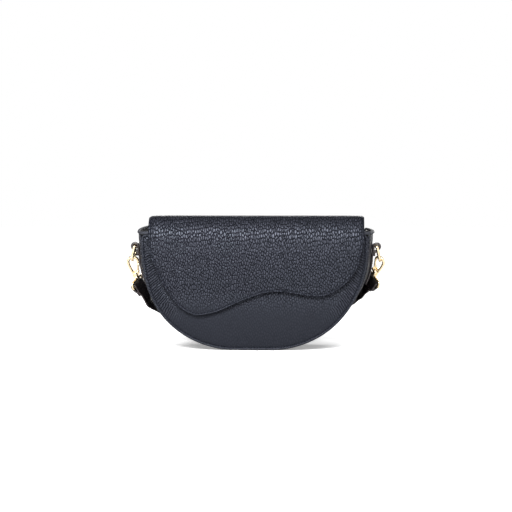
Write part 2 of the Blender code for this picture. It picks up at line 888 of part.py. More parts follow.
def strap_frame(side):
    """Middle of the strap ring's lower bar, the bar's direction and the strap's run."""
    frame = loop_frame(side)
    bar = frame @ Vector((0.0, 0.0, -(loop_inner_height + 2 * loop_wire)))
    wide = (frame.to_3x3() @ Vector((1.0, 0.0, 0.0))).normalized()
    sign = side_signs[side]
    inward, back, down = strap_run_shares[side]
    run = Vector((-sign * inward, back, -down))
    run = (run - wide * run.dot(wide)).normalized()
    return bar, wide, run


def add_strap_end(side, parts, black):
    """The strap's folded end: a lap round the ring's bar, sewn to the run beside it."""
    bar, wide, run = strap_frame(side)
    face = wide.cross(run) * side_signs[side]
    wrap = loop_wire + gap + strap_thickness / 2
    lap = (strap_thickness + gap) / 2
    settle = strap_fold_length / 2
    near = Vector((strap_fold_length - gap, lap))
    far = Vector((strap_lap_length, -lap))
    line = [near, Vector((settle, lap)), Vector((settle * 0.6, (wrap + lap) / 2))]
    line += arc((0.0, 0.0), wrap, 70, 290, arc_steps + 2)
    line += [Vector((settle * 0.6, -(wrap + lap) / 2)), Vector((settle, -lap)), far]
    name = f"{side}_strap_end"
    mesh = plate_mesh(name, thick_outline(line, strap_thickness), strap_width)
    item = add_object(name, mesh, black, parts)
    matrix = Matrix((run, face.cross(run), face)).transposed().to_4x4()
    matrix.translation = bar
    item.matrix_world = matrix


def strap_way(side):
    """Middles and width directions from the end of the fold to where the lanes begin."""
    bar, wide, run = strap_frame(side)
    sign = side_signs[side]
    face = wide.cross(run) * sign
    lap = (strap_thickness + gap) / 2
    wide = wide if wide.z > 0 else -wide
    start = bar + run * strap_fold_length + face * lap
    points = [start, start + run * strap_thickness * 3]
    widths = [wide, wide]
    for x, y, z, inward, back, up in strap_way_shares[side]:
        points.append(Vector((sign * x * panel_half, y * bag_depth, z * ring_height)))
        widths.append(Vector((-sign * inward, back, up)).normalized())
    return points, widths


def lane_points():
    """The lanes on the floor behind the bag, from the left end of the first."""
    height = strap_width / 2 + gap
    points = []
    first = half_depth + lane_start
    for lane in range(lane_count):
        y = first + lane * lane_pitch
        rightward = lane % 2 == 0
        start = -lane_left if rightward else lane_right
        stop = lane_right if rightward else -lane_left
        if lane == 0:
            start = -lane_left * 0.6
        if lane == lane_count - 1:
            stop = lane_right * 0.7
        points += [Vector((start + (stop - start) * i / 4, y, height)) for i in range(5)]
        if lane < lane_count - 1:
            sign = 1.0 if rightward else -1.0
            radius = lane_pitch / 2
            for i in range(1, lane_arc_steps):
                angle = math.pi * i / lane_arc_steps
                x = stop + sign * radius * math.sin(angle)
                points.append(Vector((x, y + radius - radius * math.cos(angle), height)))
    return points


def strap_sections():
    lanes = lane_points()
    up = Vector((0.0, 0.0, 1.0))
    line, widths = [], []
    for side in ("left", "right"):
        points, wide = strap_way(side)
        near = lanes[:2] if side == "left" else [lanes[-1], lanes[-2]]
        count = (len(points) - 1) * way_steps
        way = points[:1] + spline_through(points[1:] + near, way_steps)[:count]
        turns = wide[:1] + spline_through(wide[1:] + [up, up], way_steps)[:count]
        if side == "left":
            line = way + lanes
            widths = turns + [up] * len(lanes)
        else:
            line += way[::-1]
            widths += turns[::-1]
    sections = []
    for i, point in enumerate(line):
        along = (line[min(i + 1, len(line) - 1)] - line[max(i - 1, 0)]).normalized()
        wide = (widths[i] - along * widths[i].dot(along)).normalized()
        half_w = wide * strap_width / 2
        half_t = along.cross(wide) * strap_thickness / 2
        near, far = point - half_w, point + half_w
        sections.append([near - half_t, far - half_t, far + half_t, near + half_t])
    length = sum((b - a).length for a, b in zip(line, line[1:]))
    print(f"strap, without its folded ends: {length:.3f} m")
    return sections


def build():
    clear_scene()
    parts = new_collection("half_moon_shoulder_bag")
    cutters = new_collection("cutters")
    blue = leather("navy_leather", (0.028, 0.032, 0.055), 0.5)
    cloth = leather("black_lining", (0.012, 0.012, 0.014), 0.85)
    black = leather("black_leather", (0.010, 0.010, 0.012), 0.55)
    gold = metal("light_gold", (0.83, 0.62, 0.36), 0.22)
    steel = metal("nickel", (0.62, 0.61, 0.58), 0.3)

    add_panels(parts, blue, cloth)
    add_gusset(parts, blue, cloth)
    add_bindings(parts, blue)
    add_pocket(parts, cloth)
    add_flap(parts, cutters, blue, cloth)
    add_snap(parts, cutters, steel)
    add_tabs(parts, black)
    for side, sign in side_signs.items():
        name = f"{side}_ring"
        add_object(name, wire_mesh(name, ring_points(sign), ring_wire, cyclic=True), gold, parts)
        add_hook(side, parts, cutters, gold)
        add_gate(side, parts, cutters, gold)
        add_gate_spring(side, parts, steel)
        add_loop(side, parts, cutters, gold)
        add_strap_end(side, parts, black)
    add_object("strap", loft_mesh("strap", strap_sections(), True), black, parts)

    for side, sign in side_signs.items():
        frame = hook_frame(side)
        bar, bow = ring_frame(sign)
        pivot = frame @ gate_pivot()
        gate_axis = frame.to_3x3() @ Vector((0.0, 1.0, 0.0))
        print(side, "ring bar", [round(v, 5) for v in bar], "ring bow", [round(v, 5) for v in bow])
        up = -stem_direction(side)
        print(side, "stem", [round(v, 5) for v in frame.translation], [round(v, 5) for v in up])
        print(side, "gate", [round(v, 5) for v in pivot], [round(v, 5) for v in gate_axis])
    print("fold", [round(v, 5) for v in fold_axis()])


build()
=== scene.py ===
"""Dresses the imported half-moon shoulder bag: pebbled navy leather with painted edges and sewn
grooves, black lining, a smooth black strap and light gold snap hooks, in a white studio."""

import math

import bmesh
import bpy
import numpy as np
from mathutils import Matrix, Vector
from mathutils.geometry import delaunay_2d_cdt


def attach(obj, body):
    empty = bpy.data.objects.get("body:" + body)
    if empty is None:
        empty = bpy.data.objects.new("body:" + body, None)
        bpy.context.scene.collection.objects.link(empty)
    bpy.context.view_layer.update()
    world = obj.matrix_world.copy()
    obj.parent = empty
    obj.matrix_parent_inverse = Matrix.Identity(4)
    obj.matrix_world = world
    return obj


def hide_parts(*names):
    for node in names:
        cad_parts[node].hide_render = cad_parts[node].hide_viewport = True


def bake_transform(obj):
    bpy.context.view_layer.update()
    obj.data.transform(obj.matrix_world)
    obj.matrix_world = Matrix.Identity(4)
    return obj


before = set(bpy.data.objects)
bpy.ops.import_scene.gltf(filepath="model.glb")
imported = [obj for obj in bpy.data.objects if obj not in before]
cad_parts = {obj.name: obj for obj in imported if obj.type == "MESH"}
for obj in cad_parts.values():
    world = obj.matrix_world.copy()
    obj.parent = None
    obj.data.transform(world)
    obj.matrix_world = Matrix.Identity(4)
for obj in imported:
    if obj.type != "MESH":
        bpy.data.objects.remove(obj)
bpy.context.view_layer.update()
mm = 0.001

# ---- sizes: the CAD's own, apart from the ones that say otherwise ----------------------
panel_half = 117 * mm
shoulder = 113.5 * mm
base_sag = 1.7 * mm
corner_power = 2.35
corner_ease = 4.2 * mm
front_rim = 118.3 * mm
half_depth = 33 * mm
leather_thick = 1.8 * mm
lining_thick = 0.7 * mm
panel_middle = half_depth - leather_thick / 2
fold_height = 127 * mm
fold_y = 34.3 * mm
back_roll = 10 * mm
front_roll = 14 * mm
flap_front = 39 * mm
flap_half = 111 * mm
flap_shift = 2 * mm
flap_drop = 87.1 * mm
flap_thick = 2.4 * mm
tail_length = 21.2 * mm
snap_place = Vector((flap_shift - 45 * mm, 0, 60 * mm))
ring_height = 106.5 * mm
ring_kick = 3.6 * mm
ring_drop = 15 * mm
ring_wire = 1.5 * mm
curl_radius = 3.6 * mm
tab_thick = 1.75 * mm
hook_wire = 1.4 * mm
hook_height = 25.5 * mm
hook_arc = 5.2 * mm
hook_centre = hook_height - hook_wire - hook_arc
barrel_radius = 3.2 * mm
barrel_height = 5 * mm
loop_wire = 1.3 * mm
loop_height = (4.2 + 2.6) * mm
strap_half = 10 * mm
strap_thick = 1.8 * mm
fit = 0.3 * mm
sides = {"left": -1.0, "right": 1.0}
hook_lean = {"left": 20, "right": 36}
# These follow the picture more closely than the CAD does
back_rim_rise = {-1.0: 6.5 * mm, 1.0: 4.2 * mm}
hook_turn = {"left": 8, "right": 44}
loop_turn = {"left": 18, "right": 31}
hook_pull_in = {"left": 0.14, "right": 0.27}
strap_run = {"left": (0.8, 0.1, 1.0), "right": (0.75, 0.3, 0.62)}
# How far in from an edge its sewn groove lies: on the panels and on the flap
groove_in = 2.6 * mm
flap_groove_in = 2.25 * mm


# ---- materials ------------------------------------------------------------------------
def linear(code):
    """An sRGB hex colour as the linear colour that Blender's sockets take."""
    parts = [int(code[i : i + 2], 16) / 255 for i in (1, 3, 5)]
    return (*[c / 12.92 if c <= 0.04045 else ((c + 0.055) / 1.055) ** 2.4 for c in parts], 1)


def feed(node, inputs):
    """Gives a node's sockets their values and links."""
    for key, value in dict(inputs).items():
        if isinstance(value, bpy.types.NodeSocket):
            node.id_data.links.new(value, node.inputs[key])
        else:
            node.inputs[key].default_value = value


def add(tree, kind, inputs=(), **settings):
    """A node with its settings, its values and the links into it."""
    made = tree.nodes.new("ShaderNode" + kind)
    for key, value in settings.items():
        setattr(made, key, value)
    feed(made, inputs)
    return made


def number(tree, operation, *values):
    """The result of a sum on numbers."""
    return add(tree, "Math", enumerate(values), operation=operation).outputs[0]


def ranged(tree, value, start, stop, low=0.0, high=1.0, smooth=False):
    """A value that runs from start to stop, made to run from low to high."""
    limits = {"Value": value, "From Min": start, "From Max": stop, "To Min": low, "To Max": high}
    kind = "SMOOTHSTEP" if smooth else "LINEAR"
    return add(tree, "MapRange", limits, interpolation_type=kind).outputs["Result"]


def mixed(tree, factor, a, b, **settings):
    return add(tree, "Mix", {"Factor": factor, "A": a, "B": b}, **settings).outputs["Result"]


def noise(tree, place, scale, detail, output="Fac"):
    inputs = {"Vector": place, "Scale": scale, "Detail": detail}
    return add(tree, "TexNoise", inputs).outputs[output]


def finish_named(name):
    material = bpy.data.materials.new(name)
    material.use_nodes = True
    tree = material.node_tree
    place = add(tree, "TexCoord").outputs["Object"]
    return material, tree, tree.nodes["Principled BSDF"], place


def surface(tree, shader, colour, tone, rough, height, strength, distance):
    """Gives the shader a colour with lighter and darker places, a roughness and a relief."""
    tinted = add(tree, "VectorMath", {0: colour, "Scale": tone}, operation="SCALE")
    emboss = add(tree, "Bump", {"Height": height, "Strength": strength, "Distance": distance})
    feed(shader, {"Base Color": tinted.outputs[0], "Roughness": rough, "Normal": emboss.outputs[0]})


# The bluish tint of a waxed navy hide's shine
waxed = (0.76, 0.83, 1.0, 1)


def gathers(tree, flat, across):
    """Fine folds square to the seam: how far each place belongs to them, and their height."""
    seam = add(tree, "UVMap", uv_map="seam").outputs["UV"]
    along, depth = add(tree, "SeparateXYZ", {0: seam}).outputs[:2]
    wander = noise(tree, flat, 3.0, 1.0)
    way = number(tree, "MULTIPLY_ADD", wander, 0.05, along)
    slant = ranged(tree, across, -50 * mm, 50 * mm, 0.45, -0.45)
    leant = number(tree, "MULTIPLY_ADD", depth, slant, way)
    pitch = 0.028  # from fold to fold, in decimetres
    wave = number(tree, "SINE", number(tree, "MULTIPLY", leant, 2 * math.pi / pitch))
    fold = ranged(tree, wave, -1.0, 0.8)
    begin = ranged(tree, depth, 0.028, 0.04)
    end = ranged(tree, depth, 0.18, 0.11)
    gathered = add(tree, "Attribute", attribute_name="pucker").outputs["Fac"]
    return number(tree, "MULTIPLY", number(tree, "MULTIPLY", begin, end), gathered), fold


def pebbled_leather(name, ridge, crease_shade, pebble, depth, rough):
    """Full-grain leather embossed with a pebble and pigmented: drawn-out pebbles, with the
    creases between them painted near black as shade. They stand upright near the fold and
    slant lower down, and the hide lies smoother towards the base, where its colour is also
    painted darker as shade. The map "hide" is the leather laid flat, and the map "seam"
    holds the way along the edge and the distance in from it, both in decimetres: where the
    attribute "pucker" says so, the hide is gathered, with painted shade between its folds."""
    material, tree, shader, place = finish_named(name)
    flat = add(tree, "UVMap", uv_map="hide").outputs["UV"]
    spot = add(tree, "SeparateXYZ", {0: place}).outputs
    across, height = spot["X"], spot["Z"]
    warp = noise(tree, flat, 0.012 / pebble, 1.0, "Color")
    reach = (pebble * 14,) * 3
    moved = add(tree, "VectorMath", {0: warp, 1: reach, 2: flat}, operation="MULTIPLY_ADD")
    patterns = []
    for slant, drawn_out in ((3, 2.1), (-28, 1.8)):
        lie = {"Rotation": (0, 0, math.radians(slant)), "Scale": (1, 1 / drawn_out, 1)}
        laid = add(tree, "Mapping", {"Vector": moved.outputs[0], **lie})
        inputs = {"Vector": laid.outputs[0], "Scale": 0.1 / pebble, "Randomness": 0.85}
        kind = {"feature": "DISTANCE_TO_EDGE", "voronoi_dimensions": "2D"}
        patterns.append(add(tree, "TexVoronoi", inputs, **kind).outputs["Distance"])
    turn = ranged(tree, height, 114 * mm, 98 * mm, smooth=True)
    hollow = ranged(tree, mixed(tree, turn, *patterns), 0.3, 0.05, smooth=True)
    patchy = ranged(tree, noise(tree, flat, 0.06 / pebble, 1.0), 0.35, 0.6, 0.75, 1.0)
    dome = number(tree, "SUBTRACT", 1.0, number(tree, "MULTIPLY", hollow, patchy))
    grained = ranged(tree, height, 30 * mm, 66 * mm, 0.14, 1.0, smooth=True)
    # Towards the base the relief is held at a low value: the pebbles smooth out, and the colour and
    # its reflections are painted darker there as shade
    soft = mixed(tree, grained, 0.36, dome)

    here, fold = gathers(tree, flat, across)
    relief = mixed(tree, here, soft, fold)
    raised = number(tree, "MULTIPLY", relief, number(tree, "MULTIPLY_ADD", here, 1.6, 1.0))
    # Painted shade: the colour runs from near black in the creases and between the folds to the
    # ridge colour on the pebbles' tops
    colour = mixed(tree, relief, linear(crease_shade), linear(ridge), data_type="RGBA")
    tone = ranged(tree, noise(tree, flat, 2.2, 3.0), 0.0, 1.0, 0.88, 1.12)
    pressed = ranged(tree, grained, 0.0, 1.0, rough - 0.12, rough)
    duller = ranged(tree, relief, 0.0, 1.0, 0.2, 0.0)
    surface(tree, shader, colour, tone, number(tree, "ADD", pressed, duller), raised, 1.0, depth)
    # The creases catch less light than the pebbles' tops
    shine = ranged(tree, relief, 0.0, 1.0, 0.11, 0.42)
    feed(shader, {"Specular IOR Level": shine, "Specular Tint": waxed})
    return material


def smooth_leather(name, colour, rough, grain_size, depth, shine=None):
    """Smooth leather with a sealed face: fine close pores, small scuffs and a soft shine."""
    material, tree, shader, place = finish_named(name)
    if shine:
        feed(shader, {"Specular IOR Level": shine, "Specular Tint": waxed})
    pores = add(tree, "TexVoronoi", {"Vector": place, "Scale": 1 / grain_size}, feature="SMOOTH_F1")
    scuffs = noise(tree, place, 90.0, 5.0)
    tone = ranged(tree, scuffs, 0.0, 1.0, 0.8, 1.2)
    gloss = ranged(tree, scuffs, 0.0, 1.0, rough - 0.08, rough + 0.1)
    surface(tree, shader, linear(colour)[:3], tone, gloss, pores.outputs["Distance"], 0.6, depth)
    return material


def woven_lining(name, colour):
    """Plain-woven polyester lining: matt, with a faint cross of threads. The threads are
    drawn 0.7 mm apart, coarser than real, so that they show."""
    material, tree, shader, place = finish_named(name)
    apart = 0.7 * mm
    inputs = {"Vector": place, "Scale": 0.5 / (math.pi * apart), "Distortion": 0.6}
    inputs["Detail Scale"] = 2.0
    waves = [add(tree, "TexWave", inputs, bands_direction=way).outputs["Fac"] for way in "XZ"]
    relief = number(tree, "ADD", *waves)
    tone = ranged(tree, noise(tree, place, 40.0, 2.0), 0.0, 1.0, 0.7, 1.3)
    surface(tree, shader, linear(colour)[:3], tone, 0.8, relief, 0.5, 0.12 * mm)
    feed(shader, {"Sheen Weight": 0.04, "Specular IOR Level": 0.3})
    return material


def plated_metal(name, colour, rough, wear):
    """Plated die-cast alloy, polished: mirror-like, with faint cloudy haze and hairline rubs."""
    material, tree, shader, place = finish_named(name)
    haze = noise(tree, place, 300.0, 4.0)
    rubs = add(tree, "Bump", {"Height": haze, "Strength": 0.15, "Distance": 0.03 * mm})
    gloss = ranged(tree, haze, 0.0, 1.0, rough, rough + wear)
    plate = {"Base Color": linear(colour), "Metallic": 1.0, "Roughness": gloss}
    feed(shader, {**plate, "Normal": rubs.outputs["Normal"]})
    return material


# Milled cowhide pigmented navy; the pebbles are 2.1 mm across, as measured in the picture
# Its ridge colour, then the near-black painted shade of its creases and folds
navy = pebbled_leather("navy_pebbled_leather", "#22232a", "#020306", 2.1 * mm, 0.34 * mm, 0.42)
# The same hide turned over the edges and pressed smooth, which looks greyer
binding = smooth_leather("navy_pressed_binding", "#2b2c31", 0.6, 0.9 * mm, 0.05 * mm, 0.25)
# Cut edges sealed with grey edge paint: smooth, slightly domed and paler than the hide
edge_paint = smooth_leather("grey_edge_paint", "#1f2025", 0.5, 1.5 * mm, 0.03 * mm, 0.2)
# The flap's edge paint, painted darker and almost without shine: painted shade that hides the light
# its rounded edge catches
shaded_flap_edge_paint = smooth_leather("navy_flap_edge_painted_shade", "#16171d", 0.7, 1.5 * mm, 0.03 * mm, 0.04)
# The sewn groove: the hide pressed down, its colour painted near black as the shade that lies in
# the groove
groove = smooth_leather("navy_groove_painted_shade", "#0e0f14", 0.6, 0.9 * mm, 0.05 * mm, 0.1)
# Bonded nylon thread: tight, slightly shiny
thread = smooth_leather("navy_nylon_thread", "#1b1d26", 0.5, 0.4 * mm, 0.05 * mm, 0.25)
# Black polyester lining
lining = woven_lining("black_polyester_lining", "#0b0b0d")
# Smooth black bridle leather of the strap and tabs, and its darker brown-black painted edge
black = smooth_leather("black_bridle_leather", "#0e0b0c", 0.32, 0.8 * mm, 0.04 * mm)
black_edge = smooth_leather("black_edge_paint", "#241d1e", 0.33, 1.5 * mm, 0.02 * mm)
# Light gold plate on the rings and hooks, and nickel on the snap and the springs
gold = plated_metal("light_gold_plate", "#fbe6c0", 0.18, 0.1)
nickel = plated_metal("nickel_plate", "#c9c5bd", 0.24, 0.14)


# ---- small geometry tools -------------------------------------------------------------
def step(value, low, high):
    """A smooth rise from 0 at low to 1 at high."""
    share = np.clip((value - low) / (high - low), 0.0, 1.0)
    return share * share * (3 - 2 * share)


def through(points, steps):
    """A smooth line through the points, with steps pieces to each stretch."""
    points = [Vector(p) for p in points]
    ends = [2 * points[0] - points[1]] + points + [2 * points[-1] - points[-2]]
    found = []
    for a, b, c, d in zip(ends, ends[1:], ends[2:], ends[3:]):
        square, cube = 2 * a - 5 * b + 4 * c - d, 3 * b - a - 3 * c + d
        for t in (i / steps for i in range(steps)):
            found.append((2 * b + (c - a) * t + square * t**2 + cube * t**3) / 2)
    return found + [points[-1].copy()]


def spaced(points, count, closed=False):
    """The same line with its points evenly spaced, as an array."""
    line = np.array([tuple(p) for p in points], float)
    if closed:
        line = np.vstack([line, line[:1]])
    along = np.concatenate([[0], np.cumsum(np.linalg.norm(np.diff(line, axis=0), axis=1))])
    wanted = np.linspace(0, along[-1], count, endpoint=not closed)
    return np.stack([np.interp(wanted, along, line[:, k]) for k in range(line.shape[1])], axis=1)


def smoothed(line, times):
    """A closed line with its corners softened."""
    for _ in range(times):
        line = (np.roll(line, 1, 0) + 2 * line + np.roll(line, -1, 0)) / 4
    return line


def direction(points, i):
    """Which way an open line runs at one of its points."""
    return (points[min(i + 1, len(points) - 1)] - points[max(i - 1, 0)]).normalized()


def arc(centre, radius, start, stop, steps):
    """Points round a centre, from one angle in degrees to another."""
    angles = np.radians(np.linspace(start, stop, steps + 1))
    u, v = centre
    return [Vector((u + radius * math.cos(a), v + radius * math.sin(a))) for a in angles]


def placed(name, data):
    """A new object in the scene."""
    item = bpy.data.objects.new(name, data)
    bpy.context.scene.collection.objects.link(item)
    return item


def piece(name, builder, materials, body, *nodes):
    """A finished mesh as a piece of the bag that rides on a body, or on none where it blends,
    and that replaces CAD nodes."""
    mesh = bpy.data.meshes.new(name)
    builder.to_mesh(mesh)
    builder.free()
    for material in materials:
        mesh.materials.append(material)
    for face in mesh.polygons:
        face.use_smooth = True
    item = placed(name, mesh)
    if body:
        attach(item, body)
    if nodes:
        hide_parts(*nodes)
    return item


def rings_between(builder, rings, closed=True, material=0):
    """Quads between neighbouring rings of vertices."""
    made = []
    for low, high in zip(rings, rings[1:]):
        count = len(low)
        for i in range(count if closed else count - 1):
            j = (i + 1) % count
            face = builder.faces.new((low[i], low[j], high[j], high[i]))
            face.material_index = material
            made.append(face)
    return made


def capped(builder, rings):
    """Stacked rings closed to a solid."""
    faces = rings_between(builder, rings)
    faces += [builder.faces.new(rings[0][::-1]), builder.faces.new(rings[-1])]
    bmesh.ops.recalc_face_normals(builder, faces=faces)


def sweep(builder, middles, sections, frames, cyclic=False, materials=None):
    """A solid drawn along a line. Each section is 2D points, each frame its two directions,
    and materials has a number for each side of the section."""
    rings = []
    for middle, section, (across, face) in zip(middles, sections, frames):
        middle = Vector(middle)
        rings.append([builder.verts.new(middle + across * u + face * v) for u, v in section])
    materials = materials or [0] * len(rings[0])
    spans = rings + [rings[0]] if cyclic else rings
    for low, high in zip(spans, spans[1:]):
        for i, kind in enumerate(materials):
            j = (i + 1) % len(low)
            builder.faces.new((low[i], low[j], high[j], high[i])).material_index = kind
    if not cyclic:
        for end in (rings[0][::-1], rings[-1]):
            builder.faces.new(end).material_index = materials[0]
    bmesh.ops.recalc_face_normals(builder, faces=builder.faces)


def turned_frames(middles, cyclic=False):
    """Frames along a line that turn as little as they can."""
    points = [Vector(p) for p in middles]
    frames, across = [], None
    for i in range(len(points)):
        if cyclic:
            along = (points[(i + 1) % len(points)] - points[i - 1]).normalized()
        else:
            along = direction(points, i)
        if across is None:
            across = along.orthogonal()
        across = (across - along * across.dot(along)).normalized()
        frames.append((across, along.cross(across)))
    return frames


def wire(builder, middles, radius, cyclic=False, round_sides=20):
    """A round wire. The radius may be one size or one for each point."""
    radii = radius if hasattr(radius, "__len__") else [radius] * len(middles)
    angles = [2 * math.pi * i / round_sides for i in range(round_sides)]
    sections = [[(r * math.cos(a), r * math.sin(a)) for a in angles] for r in radii]
    sweep(builder, middles, sections, turned_frames(middles, cyclic), cyclic=cyclic)


def turned(builder, profile, matrix, round_sides=40):
    """A turned solid from (radius, height) pairs in mm, round the matrix's own Z."""
    rings = []
    for radius, height in profile:
        spots = arc((0, 0), radius * mm, 0, 360, round_sides)[:-1]
        rings.append([builder.verts.new(matrix @ Vector((p.x, p.y, height * mm))) for p in spots])
    capped(builder, rings)


def band_section(half, thick, crown):
    """A strap's section: flat faces, a little crowned, and rounded edges. It returns its
    points, and a 1 for each side that belongs to a painted edge."""
    corner = 0.8 * mm
    reach = half - corner
    flats = [-reach + 2 * reach * i / 10 for i in range(11)]
    points, edge = [], []
    for sign in (1, -1):
        for u in flats[::sign]:
            points.append((u, sign * (thick / 2 + crown * (1 - (u / half) ** 2))))
            edge.append(0)
        for a in np.radians(np.linspace(90, -90, 9)[1:-1]):
            points.append((sign * (reach + corner * math.cos(a)), sign * thick / 2 * math.sin(a)))
            edge.append(1)
    return points, [max(edge[i], edge[(i + 1) % len(edge)]) for i in range(len(edge))]


# A stitch from end to end: the share of its length, its height and its size, in radii
stitch_shape = ((0, -0.9, 0.5), (0.14, 0.1, 0.9), (0.5, 0.45, 1.0), (0.86, 0.1, 0.9))
stitch_shape += ((1, -0.9, 0.5),)


def stitches(name, line, outward, body, pitch=3.1, length=2.3, radius=0.28, material=thread):
    """A row of sewn threads, sizes in mm: each is a short rounded bar whose ends dip into the
    leather. outward is one direction for the row, or one for each point of the line."""
    table = np.array([tuple(p) for p in line])
    if isinstance(outward, Vector):
        outward = [outward] * len(line)
    faces_out = np.array([tuple(v) for v in outward])
    along = np.concatenate([[0], np.cumsum([(b - a).length for a, b in zip(line, line[1:])])])
    builder = bmesh.new()

    def at(distance, data):
        return Vector([np.interp(distance, along, data[:, k]) for k in range(3)])

    for k in range(int(along[-1] / (pitch * mm))):
        start = (pitch * (k + 0.5) - length / 2) * mm
        middles, radii = [], []
        for share, lift, size in stitch_shape:
            distance = start + length * mm * share
            out = at(distance, faces_out).normalized()
            middles.append(at(distance, table) + out * radius * mm * lift)
            radii.append(radius * mm * size)
        wire(builder, middles, radii, round_sides=6)
    piece(name, builder, [material], body)


# ---- camera, light and floor ----------------------------------------------------------
def camera():
    """A 100 mm lens 1.5 m away, three degrees to the right of the front and a hand's width
    above the bag, level enough that the bag stands in the middle of the picture."""
    azimuth, elevation = math.radians(3), math.radians(2.33)
    distance, height = 1.4957, 0.15691
    right = Vector((math.cos(azimuth), math.sin(azimuth), 0))
    away = Vector((math.sin(azimuth), -math.cos(azimuth), 0))
    back = away * math.cos(elevation) + Vector((0, 0, math.sin(elevation)))
    data = bpy.data.cameras.new("camera")
    data.lens = 100
    data.sensor_width = 36
    data.clip_start, data.clip_end = 0.05, 50
    item = placed("camera", data)
    matrix = Matrix((right, back.cross(right), back)).transposed().to_4x4()
    matrix.translation = right * 0.2 * mm + away * distance + Vector((0, 0, height))
    item.matrix_world = matrix
    bpy.context.scene.camera = item


def lamp(name, place, target, size, power, size_y=None):
    """A soft rectangular lamp that faces its target."""
    data = bpy.data.lights.new(name, "AREA")
    data.shape = "RECTANGLE"
    data.size = size
    data.size_y = size_y or size
    data.energy = power
    item = placed(name, data)
    item.location = place
    item.rotation_mode = "QUATERNION"
    item.rotation_quaternion = (Vector(place) - Vector(target)).to_track_quat("Z", "Y")


def studio():
    """A white sweep with soft lamps in front and a weaker one behind. Reflections see a white
    backdrop behind the bag, a dimmer room in front of it and a dim ceiling."""
    world = bpy.data.worlds.new("studio")
    bpy.context.scene.world = world
    world.use_nodes = True
    tree = world.node_tree
    paths = add(tree, "LightPath").outputs
    shown = number(tree, "MAXIMUM", paths["Is Camera Ray"], paths["Is Transmission Ray"])
    way = add(tree, "TexCoord").outputs["Generated"]
    rise = add(tree, "SeparateXYZ", {0: way}).outputs
    ceiling = ranged(tree, rise["Z"], 0.4, 0.7, 1.0, 0.0, smooth=True)
    walls = ranged(tree, rise["Y"], -0.7, 0.1, 0.34, 1.0, smooth=True)
    room = number(tree, "MULTIPLY", ceiling, walls)
    glossy = number(tree, "MULTIPLY", paths["Is Glossy Ray"], room)
    ambient = 0.14
    strength = ranged(tree, number(tree, "MAXIMUM", shown, glossy), 0.0, 1.0, ambient, 1.0)
    feed(tree.nodes["Background"], {"Color": (1, 1, 1, 1), "Strength": strength})

    lamp("key", (-0.2, -1.6, 1.05), (0, 0, 0.1), 1.3, 76, 0.72)
    lamp("back", (0.3, 1.7, 0.42), (0, 0, 0.1), 1.3, 10, 0.5)
    lamp("fill_left", (-1.5, -0.9, 0.4), (0, 0, 0.07), 0.9, 6)
    lamp("fill_right", (1.5, -0.9, 0.4), (0, 0, 0.07), 0.9, 5)

    bpy.ops.mesh.primitive_plane_add(size=12, location=(0, 0, -0.2 * mm))
    floor = bpy.context.object
    floor.name = "floor"
    material, tree, shader, _ = finish_named("white_sweep")
    feed(shader, {"Base Color": (0.9, 0.9, 0.9, 1), "Roughness": 0.9, "Specular IOR Level": 0.0})
    # The floor glows white to the camera, dimmed where the bag is close: a painted contact shadow
    seen = add(tree, "LightPath").outputs["Is Camera Ray"]
    open_sky = add(tree, "AmbientOcclusion", {"Distance": 45 * mm}, samples=16)
    white = ranged(tree, open_sky.outputs["AO"], 0.3, 1.0, 0.3, 0.92)
    glow_with_painted_shadow = number(tree, "MULTIPLY", seen, white)
    feed(shader, {"Emission Color": (1, 1, 1, 1), "Emission Strength": glow_with_painted_shadow})
    floor.data.materials.append(material)


# ---- the body's outline ---------------------------------------------------------------
def half_width(height):
    """Half the D's width at a height."""
    below = np.maximum(shoulder - height, 0.0) / (shoulder + base_sag)
    return panel_half * (1 - np.minimum(below, 1.0) ** corner_power) ** (1 / corner_power)


def d_right(top, eased):
    """The D's right half from the top down to the middle of the base, with a softened base."""
    points = [(panel_half, top)]
    if eased:
        points = [tuple(p) for p in arc((panel_half - eased, top - eased), eased, 90, 0, 10)]
    bend, settle = 1.2 * mm, 0.19 * mm  # how softly the base turns flat, and how low it lies
    for angle in np.linspace(0, math.pi / 2, 91):
        x = panel_half * math.cos(angle) ** (2 / corner_power)
        z = shoulder - (shoulder + base_sag) * math.sin(angle) ** (2 / corner_power)
        points.append((x, 0.5 * (z + math.sqrt(z * z + bend**2)) - settle))
    return points


def d_outline(top, inset=0.0, count=440):
    """The whole D, counterclockwise seen from the front, with its top corners eased."""
    right = d_right(top, corner_ease + inset)
    loop = [(-x, z) for x, z in right] + right[::-1][1:]
    line = smoothed(spaced(loop, count, closed=True), 4)
    return line + inward(line) * inset


def inward(line):
    """The inward direction at each point of a counterclockwise outline."""
    along = np.roll(line, -1, 0) - np.roll(line, 1, 0)
    along /= np.linalg.norm(along, axis=1, keepdims=True)
    return np.stack([-along[:, 1], along[:, 0]], axis=1)


def bow_at(height, y):
    """How far the gusset bows out past the panels."""
    side = 4.5 * mm * step(height, 40 * mm, 85 * mm)
    flare = 1.5 * mm * step(height, 100 * mm, front_rim)
    return (side + flare) * np.cos(np.pi * y / (2 * half_depth)) ** 0.7


def rim_height(y, sign):
    """The height of a side's rim, which rises to the back."""
    return front_rim + back_rim_rise[sign] * (y + half_depth) / (2 * half_depth)


# Distances in mm in from a leather piece's cut edge at which its surface has a ring of points
ring_steps = [0.1, 0.25, 0.45, 0.7, 0.95, 1.3, 1.7, 2.0, 2.25, 2.5, 2.75, 3.0, 3.3]


def inside(points, ring):
    """Which of the points lie inside a closed ring."""
    crossing = np.zeros(len(points), bool)
    for (ax, ay), (bx, by) in zip(ring, np.roll(ring, -1, 0)):
        if ay == by:
            continue
        spans = (ay > points[:, 1]) != (by > points[:, 1])
        crossing ^= spans & (points[:, 0] < (bx - ax) * (points[:, 1] - ay) / (by - ay) + ax)
    return crossing


